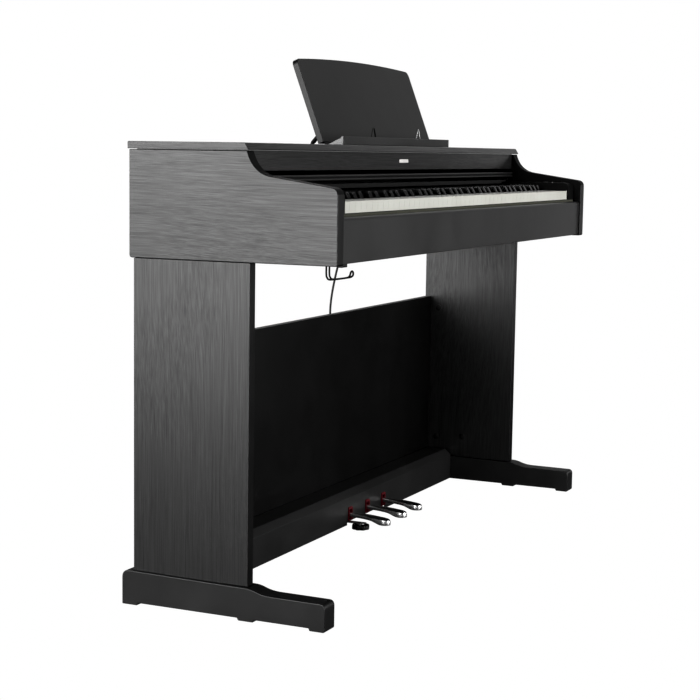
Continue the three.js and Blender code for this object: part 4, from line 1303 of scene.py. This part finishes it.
def pedal_collar(name, x):
    """A felt collar lining the slot that a pedal comes out of."""
    inner = rounded_rectangle(x - 7.4, x + 7.4, 18.6, 38.6, 3.0)
    outer = rounded_rectangle(x - 10, x + 10, 13.2, 44, 4.2)
    section = [(0, -6), (0, 1.6), (0.14, 2.6), (0.5, 3.1), (0.86, 2.6)]
    section += [(1, 1.6), (1, 0), (0.5, -0.5), (0.4, -6)]
    facing = Matrix(((1, 0, 0, 0), (0, 0, -1, BACK - BOX_FRONT), (0, 1, 0, 0), (0, 0, 0, 1)))
    shape(f"{name}_collar", sweep_ring(inner, outer, section), facing, RED_FELT)


for pedal_name, pedal_x in zip(("pedal_left", "pedal_middle", "pedal_right"), PEDAL_X):
    pedal(pedal_name, pedal_x)
    pedal_collar(pedal_name, pedal_x)

ADJUSTER = (52, 121)


def adjuster():
    """A lobed knob that stands on the floor, with a threaded screw up through the arm."""
    lobes, count = 8, 96

    def lobed(inset, z):
        ring = []
        for a in angles(count):
            r = 18.6 + 0.9 * math.cos(lobes * a) - inset
            ring.append((r * math.cos(a), r * math.sin(a), z))
        return ring

    def plain(radius, z):
        return [(a, b, z) for a, b in circle(radius, count)]

    rim = ((1.8, 0), (0.7, 0.4), (0, 1.6), (0, 7.6), (0.7, 9.3), (2.0, 10), (4.2, 10), (5.2, 8.8))
    rings = [plain(8, 0), *[lobed(inset, z) for inset, z in rim]]
    rings += [plain(6.6, 8.8), plain(6.0, 9.9), plain(3.0, 9.9)]
    knob = shape("adjuster_dial", loft(rings), spot(*ADJUSTER, 0), PLASTIC, body="adjuster_knob", sharp=50)
    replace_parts(knob, "adjuster_knob")
    pitch, root, top, steps = 1.0, 9.6, node_box("adjuster_knob")[5], 32
    rings = []
    for step in range(steps + 1):
        z = root + (top - root) * step / steps
        ring = []
        for a in angles(24):
            phase = (z / pitch - a / (2 * math.pi)) % 1.0
            r = 2.95 + 0.55 * (1 - abs(2 * phase - 1))
            ring.append((r * math.cos(a), r * math.sin(a), z))
        rings.append(ring)
    shape("adjuster_thread", loft(rings), spot(*ADJUSTER, 0), STEEL, body="adjuster_knob", sharp=60)


adjuster()

# ---------------------------------------------------------------- headphone hook

HOOK_X = (-620, -608)
HOOK_ROOT, HOOK_UNDER, HOOK_TIP = 355, 588.5, 399.2


def headphone_hook():
    """One wire bent into a double hook, held by a plate with two screws."""
    top = BED_BOTTOM - 0.3

    def leg(x):
        return [
            (x, HOOK_ROOT, top - 1),
            (x, HOOK_ROOT, 598),
            (x, HOOK_ROOT + 1.6, 591.5),
            (x, HOOK_ROOT + 8, HOOK_UNDER),
            (x, HOOK_TIP - 9, HOOK_UNDER + 4),
            (x, HOOK_TIP - 2, HOOK_UNDER + 6.5),
            (x, HOOK_TIP, HOOK_UNDER + 10),
        ]

    left, right = HOOK_X
    turn = [
        (left + 2, HOOK_TIP + 0.3, HOOK_UNDER + 14),
        ((left + right) / 2, HOOK_TIP + 0.4, HOOK_UNDER + 15.4),
        (right - 2, HOOK_TIP + 0.3, HOOK_UNDER + 14),
    ]
    bent = wire("headphone_hook_wire", [*leg(left), *turn, *reversed(leg(right))], 1.6, MATT_BLACK_AND_SHADE)
    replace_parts(bent, "headphone_hook")
    outline = rounded_rectangle(left - 5, right + 5, HOOK_ROOT - 14, HOOK_ROOT + 5, 2.5)
    shape("headphone_hook_plate", prism(outline, top - 2.2, top, edge=0.5), PLAN, WIRE)
    places = [(x, HOOK_ROOT - 8, top - 2.2, "down") for x in (left, right)]
    screws("headphone_hook_screws", places, radius=2.6, rise=1.4)


headphone_hook()

# ---------------------------------------------------------------- rear details


def rear_screws():
    """Screws around the rear panel."""
    rear = node_box("rear_panel")[2]
    columns, rows = range(-636, 637, 212), (631, 786)
    screws("rear_panel_screws", [(x, rear, z, "back") for x in columns for z in rows])


rear_screws()


CORD_CLIP_HEIGHTS = (140, 290, 420)


def cord_clips():
    """Small saddles that hold the cord against the back of the backboard."""
    rear = node_box("backboard")[2]
    for number, z in enumerate(CORD_CLIP_HEIGHTS, 1):
        section = [
            (CORD_X - 13, 0.1),
            (CORD_X - 4.6, 0.1),
            (CORD_X - 3.4, 5.0),
            *quad((CORD_X - 3.4, 5.0), (CORD_X - 3.2, 10.6), (CORD_X, 10.6), 6),
            *quad((CORD_X, 10.6), (CORD_X + 3.2, 10.6), (CORD_X + 3.4, 5.0), 6),
            (CORD_X + 4.6, 0.1),
            (CORD_X + 4.6, -0.1),
        ]
        inner = [
            (CORD_X + 2.5, -0.1),
            (CORD_X + 2.4, 5.4),
            *quad((CORD_X + 2.4, 5.4), (CORD_X + 2.2, 10.1), (CORD_X, 10.1), 6),
            *quad((CORD_X, 10.1), (CORD_X - 2.2, 10.1), (CORD_X - 2.4, 5.4), 6),
            (CORD_X - 2.5, -0.1),
            (CORD_X - 3.4, -0.9),
            (CORD_X - 13, -0.9),
        ]
        saddle = prism([*section, *inner], z - 4, z + 4, edge=0.2, steps=2)
        saddle_place = Matrix(((1, 0, 0, 0), (0, 1, 0, BACK - rear + 0.6), (0, 0, 1, 0), (0, 0, 0, 1)))
        shape(f"cord_clip_{number}", saddle, saddle_place, PLASTIC)
    heads = [(CORD_X - 9, rear - 0.7, z, "back") for z in CORD_CLIP_HEIGHTS]
    screws("cord_clip_screws", heads, radius=2.4, rise=1.4)


cord_clips()

# ---------------------------------------------------------------- studio


def seen_only_by_camera(item):
    """The white surroundings fill the picture without lighting the object."""
    material = bpy.data.materials.new(f"{item.name}_white")
    material.use_nodes = True
    tree = material.node_tree
    tree.nodes.clear()
    glow = tree.nodes.new("ShaderNodeEmission")
    glow.inputs["Color"].default_value = (1, 1, 1, 1)
    glow.inputs["Strength"].default_value = 1.0
    output = tree.nodes.new("ShaderNodeOutputMaterial")
    tree.links.new(glow.outputs[0], output.inputs["Surface"])
    item.data.materials.append(material)
    item.visible_diffuse = False
    item.visible_glossy = False
    item.visible_transmission = False
    item.visible_shadow = False


def surroundings():
    """A white dome and a pale floor for the camera, and a dark floor that keeps light off from below."""
    bpy.ops.mesh.primitive_uv_sphere_add(segments=48, ring_count=24, radius=24)
    dome = bpy.context.object
    dome.name = "studio_dome"
    seen_only_by_camera(dome)
    bpy.ops.mesh.primitive_plane_add(size=30, location=(0, 0, -0.002))
    floor = bpy.context.object
    floor.name = "studio_floor"
    seen_only_by_camera(floor)
    bpy.ops.mesh.primitive_plane_add(size=30, location=(0, 0, -0.001))
    shade = bpy.context.object
    shade.name = "floor_shade"
    shade.visible_camera = False
    dark = bpy.data.materials.new("dark_floor")
    dark.use_nodes = True
    shader = dark.node_tree.nodes["Principled BSDF"]
    shader.inputs["Base Color"].default_value = (0.008, 0.008, 0.008, 1)
    shader.inputs["Roughness"].default_value = 0.9
    shade.data.materials.append(dark)


def softbox(name, place, target, width, height, radiance):
    """A rectangular lamp of a given brightness that faces its target."""
    data = bpy.data.lights.new(name, "AREA")
    data.shape = "RECTANGLE"
    data.size, data.size_y = width, height
    data.energy = radiance * width * height * math.pi
    lamp = bpy.data.objects.new(name, data)
    scene.collection.objects.link(lamp)
    lamp.location = place
    direction = Vector(target) - Vector(place)
    lamp.rotation_euler = direction.to_track_quat("-Z", "Y").to_euler()
    lamp.visible_camera = False


# Bearing round the object in degrees, height of the middle, width, height, and brightness.
SOFTBOXES = {
    "left_rear_high": (150, 1.7, 1.9, 1.1, 13.0),
    "left_rear_low": (150, 0.6, 1.9, 1.1, 5.6),
    "left_high": (180, 1.7, 1.9, 1.1, 9.0),
    "left_low": (180, 0.6, 1.9, 1.1, 10.4),
    "front": (270, 0.6, 1.9, 1.1, 14.0),
    "front_right": (300, 0.6, 1.9, 1.1, 4.0),
    "right_low": (0, 0.6, 1.9, 1.1, 1.3),
    "right_high": (0, 2.2, 1.9, 2.0, 0.85),
    "right_rear_low": (30, 0.6, 1.9, 1.1, 0.4),
    "right_rear_high": (30, 2.8, 1.9, 1.1, 4.6),
    "rear": (90, 1.0, 2.6, 1.8, 7.0),
    "high_front": (290, 3.0, 1.9, 1.1, 7.0),
}
SOFTBOX_DISTANCE = 3.6


def studio():
    scene.view_settings.view_transform = "Standard"
    scene.view_settings.gamma = 0.8
    scene.view_settings.use_curve_mapping = True
    scene.view_settings.curve_mapping.black_level = (0.003, 0.003, 0.003)
    scene.view_settings.curve_mapping.update()
    world = bpy.data.worlds.new("studio")
    scene.world = world
    world.use_nodes = True
    ambient = world.node_tree.nodes["Background"]
    ambient.inputs["Color"].default_value = (1, 1, 1, 1)
    ambient.inputs["Strength"].default_value = 0.03
    for name, (bearing, middle, width, height, radiance) in SOFTBOXES.items():
        angle = math.radians(bearing)
        place = (SOFTBOX_DISTANCE * math.cos(angle), SOFTBOX_DISTANCE * math.sin(angle), middle)
        softbox(name, place, (0, 0, middle), width, height, radiance)
    surroundings()


studio()
